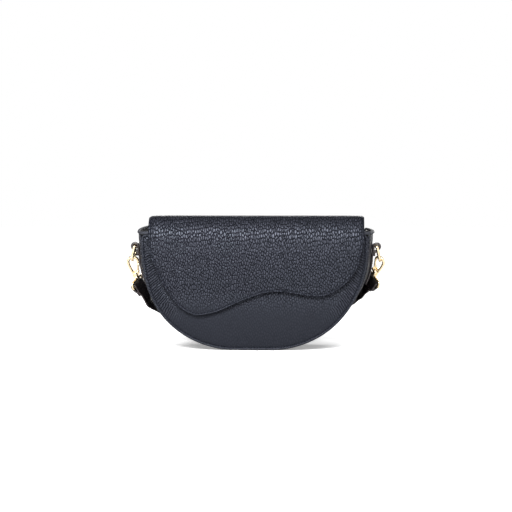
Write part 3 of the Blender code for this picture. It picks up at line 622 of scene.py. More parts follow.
def inside_points(ring, spacing):
    """Points of a triangular grid that lie inside a ring, clear of its own points."""
    low, high = ring.min(0), ring.max(0)
    rows = []
    for k, v in enumerate(np.arange(low[1], high[1], spacing * 0.87)):
        us = np.arange(low[0] + spacing * (0.5 if k % 2 else 0), high[0], spacing)
        rows.append(np.stack([us, np.full(len(us), v)], axis=1))
    grid = np.concatenate(rows)
    grid = grid[inside(grid, ring)]
    return grid[nearest(grid, ring)[0] > spacing * 0.55]


def nearest(points, line):
    """The distance from each point to a line's points, and the index of the nearest."""
    found, index = [], []
    for start in range(0, len(points), 2000):
        gap = np.linalg.norm(points[start : start + 2000, None, :] - line[None, :, :], axis=2)
        index.append(gap.argmin(1))
        found.append(gap.min(1))
    return np.concatenate(found), np.concatenate(index)


def skin(
    outline, place, outer, inner, groove_span=None, edge_reach=0.95, spacing=2.2 * mm, pucker=None
):
    """A leather piece as a closed skin: rings follow its outline, so that its edge is rounded
    and painted and its sewn groove runs evenly, and an even grid fills its middle, which can
    swell. Materials: hide, edge paint, groove. The map "seam" holds the way along the edge
    and the distance in from it."""
    outline = np.asarray(outline)
    normal = inward(outline)
    gaps = np.linalg.norm(np.roll(outline, -1, 0) - outline, axis=1)
    way = np.concatenate([[0], np.cumsum(gaps)])
    total = way[-1]
    builder = bmesh.new()
    layer = builder.loops.layers.uv.new("seam")
    hide = builder.loops.layers.uv.new("hide")
    gathered = builder.verts.layers.float.new("pucker")
    seam = {}

    def vertex(point, height, along, depth):
        made = builder.verts.new(place(point, height))
        seam[made] = (along, depth, (point[0] * 10, point[1] * 10))
        return made

    rim = [vertex(p, 0.0, way[i], 0.0) for i, p in enumerate(outline)]
    for surface, sign, grid_size in ((outer, 1, spacing), (inner, -1, 3 * spacing)):
        before, before_depth = rim, 0.0
        for depth in ring_steps:
            flat = outline + normal * depth * mm
            heights = surface(flat, np.full(len(flat), depth * mm))
            ring = [vertex(p, h, w, depth * mm) for p, h, w in zip(flat, heights, way)]
            middle = (depth + before_depth) / 2
            kind = 1 if middle < edge_reach else 0
            if groove_span and sign > 0 and groove_span[0] < middle < groove_span[1]:
                kind = 2
            rings_between(builder, [before, ring], material=kind)
            before, before_depth = ring, depth
        filling = inside_points(flat, grid_size)
        count = len(flat)
        edges = [(i, (i + 1) % count) for i in range(count)]
        every = [Vector(p) for p in flat] + [Vector(p) for p in filling]
        spots, _, faces, origins, _, _ = delaunay_2d_cdt(every, edges, [], 1, 1e-9, True)
        depths, index = nearest(filling, outline)
        heights = surface(filling, depths)
        known = list(before)
        known += [vertex(p, h, way[k], d) for p, h, k, d in zip(filling, heights, index, depths)]
        lookup = [known[o[0]] for o in origins]
        centres = np.array([[sum(spots[i][k] for i in f) / 3 for k in (0, 1)] for f in faces])
        for face, kept in zip(faces, inside(centres, flat)):
            if kept:
                builder.faces.new([lookup[i] for i in face])
    bmesh.ops.recalc_face_normals(builder, faces=builder.faces)
    if pucker:
        for vert in builder.verts:
            vert[gathered] = pucker(vert.co)
    for face in builder.faces:
        ways = [seam[loop.vert][0] for loop in face.loops]
        wraps = max(ways) - min(ways) > total / 2
        for loop, along in zip(face.loops, ways):
            along = along + total if wraps and along < total / 2 else along
            loop[layer].uv = (along * 10, seam[loop.vert][1] * 10)
            loop[hide].uv = seam[loop.vert][2]
    return builder


def rounded(depth, thick, reach=0.9 * mm):
    """Half the thickness at a distance in from a rounded edge."""
    share = np.clip(1 - depth / reach, 0, 1)
    return thick / 2 * np.sqrt(np.maximum(1 - share**2, 0.0))


def dip(depth, at, width, deep):
    """A sewn groove along the edge."""
    return deep * np.exp(-(((depth - at) / width) ** 2))


# ---- body -----------------------------------------------------------------------------
def slumped(point):
    """The bag has settled on its base a little to the left of where its top hangs."""
    return point - Vector((1.7 * mm * (1 - float(step(point.z, 30 * mm, 90 * mm))), 0, 0))


def slump(builder):
    for vert in builder.verts:
        vert.co = slumped(vert.co)


def gathered_at(place):
    """Where the hide is gathered along its seam: low on the D's sides."""
    height = place.z
    low = step(height, 24 * mm, 46 * mm) * (1 - step(height, 98 * mm, 108 * mm))
    return float(low) * (0.9 if place.x < 0 else 0.75)


def panels():
    """The two D-shaped panels, swollen inside their sewn edges. The front one dips where the
    snap's socket sits, and the back one is flat under the flap's sewn-down tail."""

    def swelling(depths, height):
        return height * (1 - np.exp(-np.maximum(depths - groove_in, 0) / (16 * mm)))

    def front_swell(points, depths):
        near = np.hypot(points[:, 0] - snap_place.x, points[:, 1] - snap_place.z)
        return swelling(depths, 1.7 * mm) * (1 - np.exp(-((near / (15 * mm)) ** 2)))

    def back_swell(points, depths):
        return swelling(depths, 1.4 * mm) * (1 - step(points[:, 1], 82 * mm, 100 * mm))

    back_top = fold_height - flap_thick / 2 - fit
    for side, sign, top, sewn_top, sewn_to, swell in (
        ("front", -1, front_rim + 1.4 * mm, front_rim, front_rim - 4 * mm, front_swell),
        ("back", 1, back_top, back_top, back_top - tail_length, back_swell),
    ):

        def outer(points, depths, swell=swell):
            cut = dip(depths, groove_in, 0.55 * mm, 0.42 * mm)
            return rounded(depths, leather_thick, 1.5 * mm) + swell(points, depths) - cut

        builder = skin(
            d_outline(top),
            lambda p, h, sign=sign: Vector((p[0], sign * (panel_middle + h), p[1])),
            outer,
            lambda points, depths: -rounded(depths, leather_thick),
            groove_span=(2.0, 3.2),
            edge_reach=1.35,
            pucker=gathered_at,
        )
        slump(builder)
        finishes = [navy, edge_paint, groove]
        piece(f"{side}_leather", builder, finishes, "bag_body", f"{side}_panel")
        y = sign * (half_depth - 0.25 * mm)
        row = d_outline(sewn_top, inset=groove_in)
        line = [slumped(Vector((x, y, z))) for x, z in row if z < sewn_to]
        stitches(f"{side}_stitches", ordered(line)[0], Vector((0, sign, 0)), "bag_body")


def ordered(line, *others):
    """An open line whose points begin after its widest jump, and lists that go with it."""
    jumps = [(line[i] - line[i - 1]).length for i in range(len(line))]
    start = jumps.index(max(jumps))
    return [data[start:] + data[:start] for data in (line, *others)]


def gusset_grid(inset, half, columns):
    """Rows across the gusset's outer face, from the left rim down and up to the right rim."""
    right = spaced(d_right(front_rim, 0), 110)
    along = np.gradient(right, axis=0)
    along /= np.linalg.norm(along, axis=1, keepdims=True)
    out = np.stack([-along[:, 1], along[:, 0]], axis=1)
    rows = {-1.0: [], 1.0: []}
    for sign, found in rows.items():
        for point, normal in zip(right, out):
            spot = point - normal * inset
            row = []
            for y in np.linspace(-half, half, columns):
                lift = step(spot[1], shoulder, front_rim) * (rim_height(y, sign) - front_rim)
                seam = 0.25 * mm * math.exp(-(((half - abs(y)) / (2 * mm)) ** 2))
                push = bow_at(spot[1], y) - seam
                x, z = spot + normal * push + (0, lift)
                row.append(Vector((sign * x, y, z if inset else max(z, 0.0))))
            found.append(row)
    return rows[-1.0] + rows[1.0][::-1][1:]


def walled(name, rows, thick, material, node):
    """An open sheet given a wall towards its inside."""
    builder = bmesh.new()
    hide = builder.loops.layers.uv.new("hide")
    grid = [[builder.verts.new(p) for p in row] for row in rows]
    rings_between(builder, grid, closed=False)
    way = [0.0]
    for a, b in zip(rows, rows[1:]):
        way.append(way[-1] + (b[len(b) // 2] - a[len(a) // 2]).length * 10)
    laid = {v: (way[i], v.co.y * 10) for i, row in enumerate(grid) for v in row}
    for face in builder.faces:
        for loop in face.loops:
            loop[hide].uv = laid[loop.vert]
    slump(builder)
    bmesh.ops.recalc_face_normals(builder, faces=builder.faces)
    builder.normal_update()
    lowest = min(builder.faces, key=lambda f: f.calc_center_median().z)
    if lowest.normal.z > 0:
        bmesh.ops.reverse_faces(builder, faces=builder.faces)
    item = piece(name, builder, [material], "bag_body", node)
    wall = item.modifiers.new("wall", "SOLIDIFY")
    wall.thickness = thick
    wall.offset = -1
    wall.use_even_offset = True
    bpy.ops.object.select_all(action="DESELECT")
    item.select_set(True)
    bpy.context.view_layer.objects.active = item
    bpy.ops.object.modifier_apply(modifier="wall")


def gusset():
    """The band between the panels, and its lining."""
    rows = gusset_grid(0.0, half_depth - leather_thick - fit, 25)
    walled("gusset_leather", rows, leather_thick, navy, "gusset")
    rows = gusset_grid(leather_thick + 0.25 * mm, 28.7 * mm, 17)
    walled("gusset_cloth", rows, lining_thick, lining, "gusset_lining")


def rounded_box(half_u, half_v, radius):
    """A section with rounded corners, as 2D points."""
    u, v = half_u - radius, half_v - radius
    points = []
    for k, corner in enumerate(((u, v), (-u, v), (-u, -v), (u, -v))):
        points += arc(corner, radius, 90 * k, 90 * k + 90, 4)
    return points


def bindings():
    """Strips of pressed hide turned over the rims, with a row of stitches outside."""
    height = 3.5 * mm
    reach = panel_half - 3.6 * mm
    # Where the front strip curls back at its ends: along, back, and its section's scale
    curl = [(reach, 0.0, 1.0), (reach + 2.6 * mm, 0.7 * mm, 0.97)]
    curl += [(reach + 4.4 * mm, 2.3 * mm, 0.88), (reach + 5.1 * mm, 4.4 * mm, 0.7)]
    path = [(-x, back, size) for x, back, size in reversed(curl)]
    path += [(x, 0.0, 1.0) for x in np.linspace(-reach, reach, 40)[1:-1]] + curl
    strip_front, strip_back = -34.2 * mm, -28.5 * mm
    y, z = (strip_front + strip_back) / 2, front_rim + 1.0 * mm + height / 2
    middles = [Vector((x, y + back, z)) for x, back, _ in path]
    alongs = [direction(middles, i) for i in range(len(middles))]
    frames = [(Vector((-along.y, along.x, 0)), Vector((0, 0, 1))) for along in alongs]
    section = rounded_box(2.85 * mm, height / 2, 1.1 * mm)
    builder = bmesh.new()
    sweep(builder, middles, [[p * size for p in section] for _, _, size in path], frames)
    piece("front_rim_leather", builder, [binding], "bag_body", "front_rim_binding")

    def gusset_face(y):
        return panel_half + float(bow_at(front_rim, y))

    def outside(y):
        return gusset_face(y) + 1.2 * mm * math.cos(math.pi * y / (2 * half_depth))

    depth_in, height = 2.3 * mm, 2.6 * mm
    for side, sign in sides.items():
        middles, sections = [], []
        for y in np.linspace(-28.2 * mm, 32.4 * mm, 44):
            outer, inner = outside(y), gusset_face(y) - depth_in
            z = rim_height(y, sign) + fit + height / 2
            middles.append(Vector((sign * (outer + inner) / 2, y, z)))
            sections.append(rounded_box((outer - inner) / 2, height / 2, 0.9 * mm))
        builder = bmesh.new()
        sweep(builder, middles, sections, [(Vector((1, 0, 0)), Vector((0, 0, 1)))] * len(middles))
        piece(f"{side}_rim_leather", builder, [binding], "bag_body", f"{side}_rim_binding")
        line = [
            Vector((sign * outside(y), y, rim_height(y, sign) + 1.3 * mm))
            for y in np.linspace(-26 * mm, 28.5 * mm, 60)
        ]
        stitches(f"{side}_rim_stitches", line, Vector((sign, 0, 0)), "bag_body", 2.8, 2.0)


def cloth_face(depths):
    """Half the lining's thickness, rounded at its edge."""
    return rounded(depths, lining_thick, 0.4 * mm)


def lined(
    name, outline, place, outer, node, body="bag_body", spacing=4 * mm, settle=False, under=0.0
):
    """A piece of lining."""

    def inner(points, depths):
        return -under - cloth_face(depths)

    builder = skin(outline, place, outer, inner, edge_reach=0, spacing=spacing)
    if settle:
        slump(builder)
    piece(name, builder, [lining] * 3, body, node)


def linings():
    """The panels' linings, which hang a little wavy, and the pocket on the back one."""

    def wavy(points, depths):
        wave = 0.12 * mm * np.sin(points[:, 0] / (23 * mm)) * step(depths, 3 * mm, 20 * mm)
        return cloth_face(depths) + wave

    inset = leather_thick + 0.35 * mm
    for side, sign, top in (("front", 1, front_rim), ("back", -1, fold_height - 1.5 * mm)):
        lined(
            f"{side}_cloth",
            d_outline(top, inset=inset, count=260),
            lambda p, h, sign=sign: Vector((p[0], sign * (h - 29.4 * mm), p[1])),
            wavy,
            f"{side}_lining",
            settle=True,
        )

    half, low, high, corner = 60 * mm, 34 * mm, 98 * mm, 6 * mm
    u, v = half - corner, (high - low) / 2 - corner
    points = []
    for su, sv, start in ((-1, -1, 180), (1, -1, 270), (1, 1, 0), (-1, 1, 90)):
        points += arc((su * u, (low + high) / 2 + sv * v), corner, start, start + 90, 6)
    outline = smoothed(spaced(points, 220, closed=True), 2)

    def gaping(points, depths):
        sag = step(points[:, 1], 80 * mm, high) * np.cos(points[:, 0] / half * np.pi / 2)
        return cloth_face(depths) + 0.5 * mm * sag

    def on_back(point, height):
        return Vector((point[0], 28.3 * mm - height, point[1]))

    lined("pocket_cloth", outline, on_back, gaping, "slip_pocket")


# ---- flap -----------------------------------------------------------------------------
# The flap's free edge from left to right: shares of its half width and of its drop
flap_edge_shares = (
    ((-1.000, 0.166), (-0.983, 0.285), (-0.918, 0.480), (-0.855, 0.650), (-0.780, 0.798))
    + ((-0.698, 0.915), (-0.599, 0.984), (-0.514, 1.000), (-0.333, 0.944), (-0.135, 0.830))
    + ((0.064, 0.739), (0.195, 0.718), (0.312, 0.730), (0.427, 0.755), (0.559, 0.772))
    + ((0.659, 0.755), (0.759, 0.692), (0.841, 0.607), (0.907, 0.502), (0.949, 0.396))
    + ((0.974, 0.269), (1.000, 0.119))
)
top_height = fold_height + back_roll
front_arc_z = top_height - front_roll
back_arc_y = fold_y - back_roll
front_arc_y = -flap_front + front_roll
back_arc_end = back_roll * math.pi / 2
top_end = back_arc_end + back_arc_y - front_arc_y
front_arc_end = top_end + front_roll * math.pi / 2
roll_drop = 24 * mm


def eased_roll():
    """The front roll as a table: distance along it, place and outward direction."""
    angles = np.linspace(0, np.pi / 2, 120)
    ys = front_arc_y - front_roll * np.sin(angles)
    zs = top_height - roll_drop * (1 - np.cos(angles))
    ways = np.concatenate([[0], np.cumsum(np.hypot(np.diff(ys), np.diff(zs)))])
    out = np.stack([-np.sin(angles) / front_roll, np.cos(angles) / roll_drop])
    out /= np.linalg.norm(out, axis=0)
    return ways, ys, zs, out[0], out[1]


front_line = eased_roll()
# How much shorter the eased roll's way down to the roll's end is than the round one's
roll_saving = front_arc_end - top_end + roll_drop - front_roll - front_line[0][-1]


def flap_at(way):
    """The flap's middle line at a distance from its fold: place and outward direction. The
    front roll turns evenly at first and then ever more slowly, as soft leather does."""
    if way < 0:
        return (fold_y, fold_height + way), (1.0, 0.0)
    if way < back_arc_end:
        a = way / back_roll
        out = (math.cos(a), math.sin(a))
        return (back_arc_y + back_roll * out[0], fold_height + back_roll * out[1]), out
    if way < top_end:
        return (back_arc_y - (way - back_arc_end), top_height), (0.0, 1.0)
    along = way - top_end
    along -= roll_saving * min(along / (front_line[0][-1] + roll_saving), 1.0)
    y, z, out_y, out_z = (float(np.interp(along, front_line[0], row)) for row in front_line[1:])
    return (y, z - max(along - front_line[0][-1], 0.0)), (out_y, out_z)


def flap_place(point, height):
    """A place on the flap from its place on the flat leather and its height above it. The
    hanging part has a slight belly."""
    x, way = point
    (y, z), (out_y, out_z) = flap_at(way)
    share = min(max((way - front_arc_end + 10 * mm) / (74 * mm), 0.0), 1.0)
    belly = 2.6 * mm * math.sin(math.pi * share) ** 1.2 * (1 - 0.3 * (x / flap_half) ** 2)
    reach = height + belly
    return Vector((x, y + out_y * reach, z + out_z * reach))


def flap_outline(start, margin=0.0, count=520):
    """The flap's outline laid flat: across the bag, and along the leather from its fold."""
    points = [Vector((x * flap_half, front_arc_end + z * flap_drop)) for x, z in flap_edge_shares]
    eased = corner_ease + 1.3 * margin
    loop = arc((eased - flap_half, start + eased), eased, -90, -180, 10) + through(points, 6)
    loop += arc((flap_half - eased, start + eased), eased, 0, -90, 10)
    flat = smoothed(spaced([(p.x + flap_shift, p.y) for p in loop], count, closed=True), 4)
    area = np.sum(flat[:, 0] * np.roll(flat[:, 1], -1) - np.roll(flat[:, 0], -1) * flat[:, 1])
    if area < 0:
        flat = flat[::-1]
    return flat + inward(flat) * margin


def flap():
    """The flap with its sewn-down tail, which bends at the fold, its stitches and its lining."""

    def outer(points, depths):
        roll = np.exp(-(((points[:, 1] - top_end - 11 * mm) / (20 * mm)) ** 2))
        ease = 0.9 * mm * roll * (1 - step(depths, 0.0, 4.5 * mm))
        cut = dip(depths, flap_groove_in, 0.5 * mm, 0.3 * mm)
        swell = 0.35 * mm * (1 - np.exp(-np.maximum(depths - 2.2 * mm, 0) / (6 * mm)))
        return rounded(depths, flap_thick, 1.1 * mm) - cut - ease + swell

    builder = skin(
        flap_outline(-tail_length),
        flap_place,
        outer,
        lambda points, depths: -rounded(depths, flap_thick, 1.1 * mm),
        groove_span=(1.8, 2.75),
        edge_reach=0.6,
        spacing=2 * mm,
    )
    item = piece("flap_leather", builder, [navy, shaded_flap_edge_paint, groove], None, "flap", "flap_tail")
    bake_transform(item)

    row = flap_outline(-tail_length, margin=flap_groove_in)
    for body, points in (
        ("flap_body", [p for p in row if p[1] > 7 * mm]),
        ("bag_body", [p for p in row if p[1] < -6 * mm]),
    ):
        line = [flap_place(p, flap_thick / 2 - 0.2 * mm) for p in points]
        out = [flap_place(p, 1.0) - flap_place(p, 0.0) for p in points]
        stitches(f"flap_stitches_{body}", *ordered(line, out), body)

    under = 1.75 * mm
    lined(
        "flap_cloth",
        flap_outline(3 * mm, margin=4 * mm, count=320),
        flap_place,
        lambda points, depths: cloth_face(depths) - under,
        "flap_lining",
        body="flap_body",
        spacing=3 * mm,
        under=under,
    )


# ---- magnetic snap --------------------------------------------------------------------
def snap():
    """A magnetic snap in nickel: a dished socket on the front panel, its stud on the flap."""
    rim = ((7.6, 0.0), (8.0, 0.3), (8.0, 1.1), (7.6, 1.5), (6.6, 1.8), (5.2, 1.8))
    socket = rim + ((4.4, 1.7), (4.2, 1.4), (4.2, 0.7), (3.9, 0.6), (0.4, 0.6))
    rim = ((7.4, 0.0), (8.0, 0.2), (8.0, 0.6), (7.6, 0.9), (6.8, 1.0))
    stud = rim + ((3.6, 1.0), (3.1, 1.1), (3.0, 1.6), (2.7, 1.8), (0.4, 1.8))
    for name, y, turn, profile, body in (
        ("snap_socket", -33.2 * mm, 90, socket, "bag_body"),
        ("snap_stud", -36.5 * mm, -90, stud, "flap_body"),
    ):
        place = Matrix.Translation(snap_place + Vector((0, y, 0)))
        builder = bmesh.new()
        turned(builder, profile, place @ Matrix.Rotation(math.radians(turn), 4, "X"))
        piece(f"{name}_shell", builder, [nickel], body, name)
        # The inner plate is a plain disc in the CAD too, and keeps its own mesh
        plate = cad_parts[f"{name}_plate"].data
        plate.materials.clear()
        plate.materials.append(nickel)


# ---- tabs, rings, hooks ---------------------------------------------------------------
def side_face(height):
    """How far from the middle the gusset's outer face lies at a height."""
    return float(half_width(height) + bow_at(height, 0.0))


def bar_out():
    """How far from the middle a D-ring's bar lies."""
    return side_face(ring_height) + fit + 0.9 * mm + curl_radius


def tab_line():
    """A tab's middle line: up the gusset, round the bar and back onto its own face."""
    low, lap = 67 * mm, 96.5 * mm
    line = [Vector((side_face(z) + 1.2 * mm, z)) for z in np.linspace(low, lap, 14)]
    turn, bend = math.radians(50), 2 * mm
    curl = arc((bar_out(), ring_height), curl_radius, 180, -50, 26)
    outer = side_face(lap) + 3.3 * mm
    slack = curl[-1].x - bend * (1 - math.cos(turn)) - outer
    neck = curl[-1] - Vector((math.sin(turn), math.cos(turn))) * slack / math.sin(turn)
    centre = neck + Vector((math.cos(turn), -math.sin(turn))) * bend
    return line + curl + arc(centre, bend, 130, 180, 8) + [Vector((outer, lap))]


def tabs():
    """Black tabs that curl round the rings' bars, thicker there, with a painted edge and sewn
    sides."""
    path = tab_line()
    for side, sign in sides.items():
        middles, frames, sections = [], [], []
        for i, spot in enumerate(path):
            along = direction(path, i)
            face = Vector((-sign * along.y, 0, along.x))
            padding = 0.85 * mm * float(step(spot.y, 98 * mm, 101 * mm))
            middles.append(Vector((sign * spot.x, 0, spot.y)) - face * padding / 2)
            frames.append((Vector((0, 1, 0)), face))
            section, tagged = band_section(9 * mm, tab_thick + padding, 0.08 * mm)
            sections.append(section)
        builder = bmesh.new()
        sweep(builder, middles, sections, frames, materials=tagged)
        piece(f"{side}_tab_leather", builder, [black, black_edge], "bag_body", f"{side}_tab")
        for name, y in (("front", -6.8 * mm), ("back", 6.8 * mm)):
            heights = np.linspace(70 * mm, 94 * mm, 30)
            line = [Vector((sign * (side_face(z) + 2.1 * mm), y, z)) for z in heights]
            row, out = f"{side}_tab_stitches_{name}", Vector((sign, 0, 0))
            stitches(row, line, out, "bag_body", 2.6, 1.9, 0.25, black_edge)


def ring_frame(sign):
    """The middle of a D-ring's bar and of its bow."""
    bar = Vector((sign * bar_out(), 0, ring_height))
    return bar, bar + Vector((sign * ring_kick, 0, -ring_drop))


def stem_direction(side):
    lean = math.radians(hook_lean[side])
    pull_in = -sides[side] * hook_pull_in[side]
    return Vector((pull_in, math.sin(lean), -math.cos(lean))).normalized()


def frame_matrix(origin, up, across):
    z = up.normalized()
    x = (across - z * across.dot(z)).normalized()
    matrix = Matrix((x, z.cross(x), z)).transposed().to_4x4()
    matrix.translation = origin
    return matrix


def hook_frame(side):
    sign = sides[side]
    down = stem_direction(side)
    seat = (ring_wire + hook_wire) / math.cos(math.radians(hook_lean[side])) + 0.5 * mm
    origin = ring_frame(sign)[1] - down * seat + down * (hook_height - hook_wire)
    turn = math.radians(hook_turn[side])
    across = Vector((-sign * math.cos(turn), math.sin(turn), 0))
    return frame_matrix(origin, -down, across)


def loop_frame(side):
    sign = sides[side]
    down = stem_direction(side)
    turn = math.radians(loop_turn[side])
    origin = hook_frame(side).translation + down * (0.3 * mm + loop_wire)
    return frame_matrix(origin, -down, Vector((-sign * math.sin(turn), math.cos(turn), 0)))


def d_ring(side):
    """A D-ring of 3 mm wire: straight bar in the tab, bow hanging outside it."""
    bar, bow = ring_frame(sides[side])
    half = 11.5 * mm
    points = [bar + Vector((0, half * s, 0)) for s in np.linspace(-0.9, 0.9, 20)]
    for angle in np.linspace(0, math.pi, 61):
        wide = half * math.copysign(abs(math.cos(angle)) ** 0.85, math.cos(angle))
        points.append(bar + Vector((0, wide, 0)) + (bow - bar) * abs(math.sin(angle)) ** 0.85)
    even = smoothed(spaced(points, 120, closed=True), 3)
    builder = bmesh.new()
    wire(builder, [Vector(p) for p in even], ring_wire, cyclic=True)
    piece(f"{side}_d_ring", builder, [gold], f"{side}_hanger", f"{side}_ring")


def mirrored(profile):
    """A profile and its mirror image, from end to end."""
    return profile + tuple((radius, -height) for radius, height in reversed(profile))


def hook(side):
    """A swivel snap hook: cast body with a round barrel, and a sprung gate on a pin."""
    matrix = hook_frame(side)
    to_y = Matrix.Rotation(math.radians(-90), 4, "X")
    body = f"{side}_hook_body"

    builder = bmesh.new()
    spine = [(-1.2 * mm, 3.6 * mm), (-2.9 * mm, 8 * mm), (-4.5 * mm, 13.5 * mm)]
    line = through(spine + [(-hook_arc, hook_centre)], 6)
    line += arc((0, hook_centre), hook_arc, 180, 0, 30)[1:]
    line += [Vector((hook_arc, hook_centre - down)) for down in (1.3 * mm, 2.5 * mm)]
    radii = [1.8 * mm - 0.3 * mm * min(i / 22, 1.0) for i in range(len(line))]
    radii[-1] = 1.2 * mm
    wire(builder, [matrix @ Vector((p.x, 0, p.y)) for p in line], radii, round_sides=24)
    collar = ((1.3, 0.3), (2.6, 0.3), (3.05, 0.5), (3.2, 0.8), (3.2, 1.5), (3.0, 1.8), (2.75, 1.95))
    barrel = ((2.75, 2.2), (3.0, 2.35), (3.2, 2.7), (3.25, 4.1), (3.2, 5.6), (3.0, 6.4))
    turned(builder, collar + barrel + ((2.5, 6.9), (0.9, 7.1)), matrix)
    # The two ears that hold the gate's pin
    ear = [(-1.6, 3.6), (2.2, 3.4), (4.2, 4.6), (5.0, 6.2), (4.9, 7.9), (3.6, 9.0)]
    ear += [(2.2, 8.9), (0.2, 7.6), (-1.6, 6.4)]
    outline = smoothed(spaced(np.array(ear) * mm, 40, closed=True), 3)
    middle = outline.mean(0)
    half = ((0.72, -0.45), (0.9, -0.45), (1.0, -0.25))
    for y in (-1.85, 1.85):
        rings = []
        for size, out in mirrored(half):
            ring = middle + (outline - middle) * size
            spots = [matrix @ Vector((u, (y + out) * mm, v)) for u, v in ring]
            rings.append([builder.verts.new(p) for p in spots])
        capped(builder, rings)
    piece(f"{side}_hook_body", builder, [gold], body, f"{side}_hook")

    pivot = Vector((barrel_radius * 0.95, 0, barrel_height + 2 * mm))
    on_pivot = matrix @ Matrix.Translation(pivot) @ to_y
    head = ((0.5, -2.75), (1.0, -2.65), (1.05, -2.35), (0.6, -2.3))
    builder = bmesh.new()
    turned(builder, mirrored(head), on_pivot, 24)
    piece(f"{side}_gate_rivet", builder, [gold], body, f"{side}_gate_pin")

    tip = Vector((hook_arc, 0, hook_centre - 2.8 * mm))
    along = (tip - pivot).normalized()
    builder = bmesh.new()
    knuckle = ((0.7, -1.05), (1.5, -1.05), (1.65, -0.8))
    turned(builder, mirrored(knuckle), on_pivot, 28)
    foot = pivot + along * mm
    line = through([foot, foot.lerp(tip, 0.5), tip], 6)
    radii = [1.25 * mm - 0.12 * mm * i / len(line) for i in range(len(line))]
    radii[0], radii[-1] = 1.0 * mm, 0.85 * mm
    wire(builder, [matrix @ p for p in line], radii)
    piece(f"{side}_gate_lever", builder, [gold], f"{side}_gate_body", f"{side}_gate")

    # The leaf spring stands in the barrel and leans on the gate
    touch = pivot + along * 5.3 * mm + Vector((-along.z, 0, along.x)) * 1.65 * mm
    base, knee = Vector((-0.6 * mm, 0, 6.6 * mm)), Vector((-0.6 * mm, 0, 9 * mm))
    middle = Vector((knee.x, 0, knee.z + (touch.z - knee.z) * 0.4))
    line = [matrix @ p for p in through([base, knee, middle, touch], 6)]
    builder = bmesh.new()
    wire(builder, line, 0.3 * mm, round_sides=10)
    item = piece(f"{side}_gate_leaf", builder, [nickel], None, f"{side}_gate_spring")
    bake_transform(item)


def strap_ring(side):
    """A rectangular ring of 2.6 mm wire with the swivel post standing on it."""
    matrix = loop_frame(side)
    inner_width, corner = 21.2 * mm, 2.2 * mm
    u, v = inner_width / 2 + loop_wire - corner, corner - loop_height
    points = []
    for centre, start in (((u, -corner), 90), ((u, v), 0), ((-u, v), -90), ((-u, -corner), 180)):
        points += arc(centre, corner, start, start - 90, 8)
    even = spaced([(p.x, 0, p.y) for p in points], 120, closed=True)
    builder = bmesh.new()
    wire(builder, [matrix @ Vector(p) for p in even], loop_wire, cyclic=True)
    post = ((1.6, 0.2), (1.6, 0.7), (1.3, 0.95), (0.8, 1.05), (0.8, 3.95), (1.5, 4.0), (1.5, 4.9))
    turned(builder, post, matrix, 28)
    piece(f"{side}_strap_ring_wire", builder, [gold], f"{side}_hanger", f"{side}_strap_ring")


# ---- strap ----------------------------------------------------------------------------
# The strap's way from its ring to the floor: places as shares of the panels' half width, of
# the bag's depth and of the rings' height, then the way its width points: in, back and up
strap_way_shares = {
    "left": (
        (0.985, 0.180, 0.482, 0.25, 0.85, 0.40),
        (0.975, 0.240, 0.453, 0.00, 0.66, 0.70),
        (0.955, 0.330, 0.427, -0.25, 0.40, 0.86),
        (0.925, 0.440, 0.406, -0.25, 0.25, 0.92),
        (0.870, 0.555, 0.380, -0.15, 0.15, 0.98),
        (0.795, 0.680, 0.355, 0.00, 0.00, 1.00),
        (0.690, 0.880, 0.265, 0.00, 0.00, 1.00),
        (0.545, 0.935, 0.155, 0.00, 0.00, 1.00),
    ),
    "right": (
        (0.944, 0.424, 0.535, 0.05, 0.80, 0.60),
        (0.876, 0.568, 0.484, 0.05, 0.45, 0.89),
        (0.803, 0.665, 0.450, 0.00, 0.15, 0.99),
        (0.745, 0.810, 0.425, 0.00, 0.05, 1.00),
        (0.684, 1.000, 0.366, 0.00, 0.00, 1.00),
        (0.615, 1.333, 0.258, 0.00, 0.00, 1.00),
        (0.538, 1.620, 0.165, 0.00, 0.00, 1.00),
    ),
}


def lane_line():
    """The strap's lanes on the floor behind the bag, from the left end of the first."""
    height = strap_half + fit
    pitch, left, right = 16 * mm, -68 * mm, 44 * mm
    points = []
    for lane in range(5):
        y = half_depth + 27 * mm + lane * pitch
        sign = -1.0 if lane % 2 else 1.0
        start, stop = (right, left) if lane % 2 else (left, right)
        start *= 0.6 if lane == 0 else 1.0
        stop *= 0.7 if lane == 4 else 1.0
        points += [Vector((start + (stop - start) * i / 4, y, height)) for i in range(5)]
        if lane < 4:
            turn = arc((0, pitch / 2), pitch / 2, -90, 90, 8)[1:-1]
            points += [Vector((stop + sign * p.x, y + p.y, height)) for p in turn]
    return points


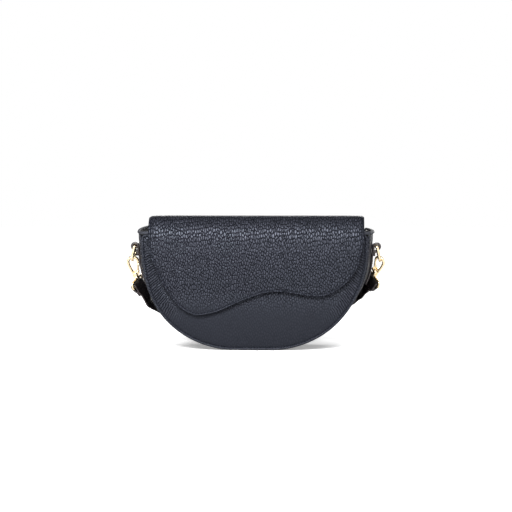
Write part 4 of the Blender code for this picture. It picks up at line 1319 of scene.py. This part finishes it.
def strap_half_line(side):
    """From the sewn tip round the strap ring's bar and down to the middle of the lanes:
    the middle of the strap, and the way its width points."""
    matrix = loop_frame(side)
    sign = sides[side]
    bar = matrix @ Vector((0, 0, -loop_height))
    wide = (matrix.to_3x3() @ Vector((1, 0, 0))).normalized()
    inward_run, back_run, down_run = strap_run[side]
    run = Vector((-sign * inward_run, back_run, -down_run))
    run = (run - wide * run.dot(wide)).normalized()
    face = wide.cross(run) * sign
    wide = wide if wide.z > 0 else -wide
    wrap = loop_wire + fit + strap_thick / 2
    lap = (strap_thick + fit) / 2
    tip = 10 * mm if side == "left" else 8.4 * mm
    # The fold laid flat: the lower layer to the bar, round it, and the upper layer away
    flat = [(tip, -lap), (tip * 0.82, -lap), (6 * mm, -lap), (3.6 * mm, -(wrap + lap) / 2)]
    flat += [(p.x * (1.45 if p.x < 0 else 1.0), p.y) for p in arc((0, 0), wrap, -70, -290, 16)]
    flat += [(3.6 * mm, (wrap + lap) / 2), (6 * mm, lap), (9 * mm, lap), (12 * mm, lap)]
    line = [bar + run * u + face * v for u, v in flat]
    widths = [wide] * len(line)
    if side == "right":
        turning = [Vector(way).normalized() for way in ((-0.28, 0.76, 0.59), (-0.1, 0.85, 0.52))]
        widths[-2:] = turning
        widths[:2] = turning[::-1]
    for x, y, z, inward_share, back, up in strap_way_shares[side]:
        line.append(Vector((sign * x * panel_half, y * 2 * half_depth, z * ring_height)))
        widths.append(Vector((-sign * inward_share, back, up)).normalized())
    lanes = lane_line()
    middle = len(lanes) // 2
    rest = lanes[: middle + 1] if side == "left" else lanes[middle:][::-1]
    return line + rest, widths + [Vector((0, 0, 1))] * len(rest), run, bar


def strap():
    """A flat strap of two layers of bridle leather, folded and sewn round each strap ring. It
    bends between its ring and the floor."""
    section, tagged = band_section(strap_half - 0.1 * mm, strap_thick, 0.05 * mm)
    steps = 4
    for side in sides:
        line, widths, run, bar = strap_half_line(side)
        middles, turns = through(line, steps), through(widths, steps)
        frames = []
        for i, turn in enumerate(turns):
            along = direction(middles, i)
            if i == len(middles) - 1:
                along = Vector((along.x, along.y, 0)).normalized()
            across = (turn - along * turn.dot(along)).normalized()
            frames.append((across, along.cross(across)))
        builder = bmesh.new()
        sweep(builder, middles, [section] * len(middles), frames, materials=tagged)
        nodes = ["strap", "left_strap_end"] if side == "left" else ["right_strap_end"]
        item = piece(f"{side}_strap_leather", builder, [black, black_edge], None, *nodes)
        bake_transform(item)


camera()
studio()
panels()
gusset()
bindings()
linings()
flap()
snap()
tabs()
for name in sides:
    d_ring(name)
    hook(name)
    strap_ring(name)
strap()

bpy.context.scene.view_settings.view_transform = "Standard"
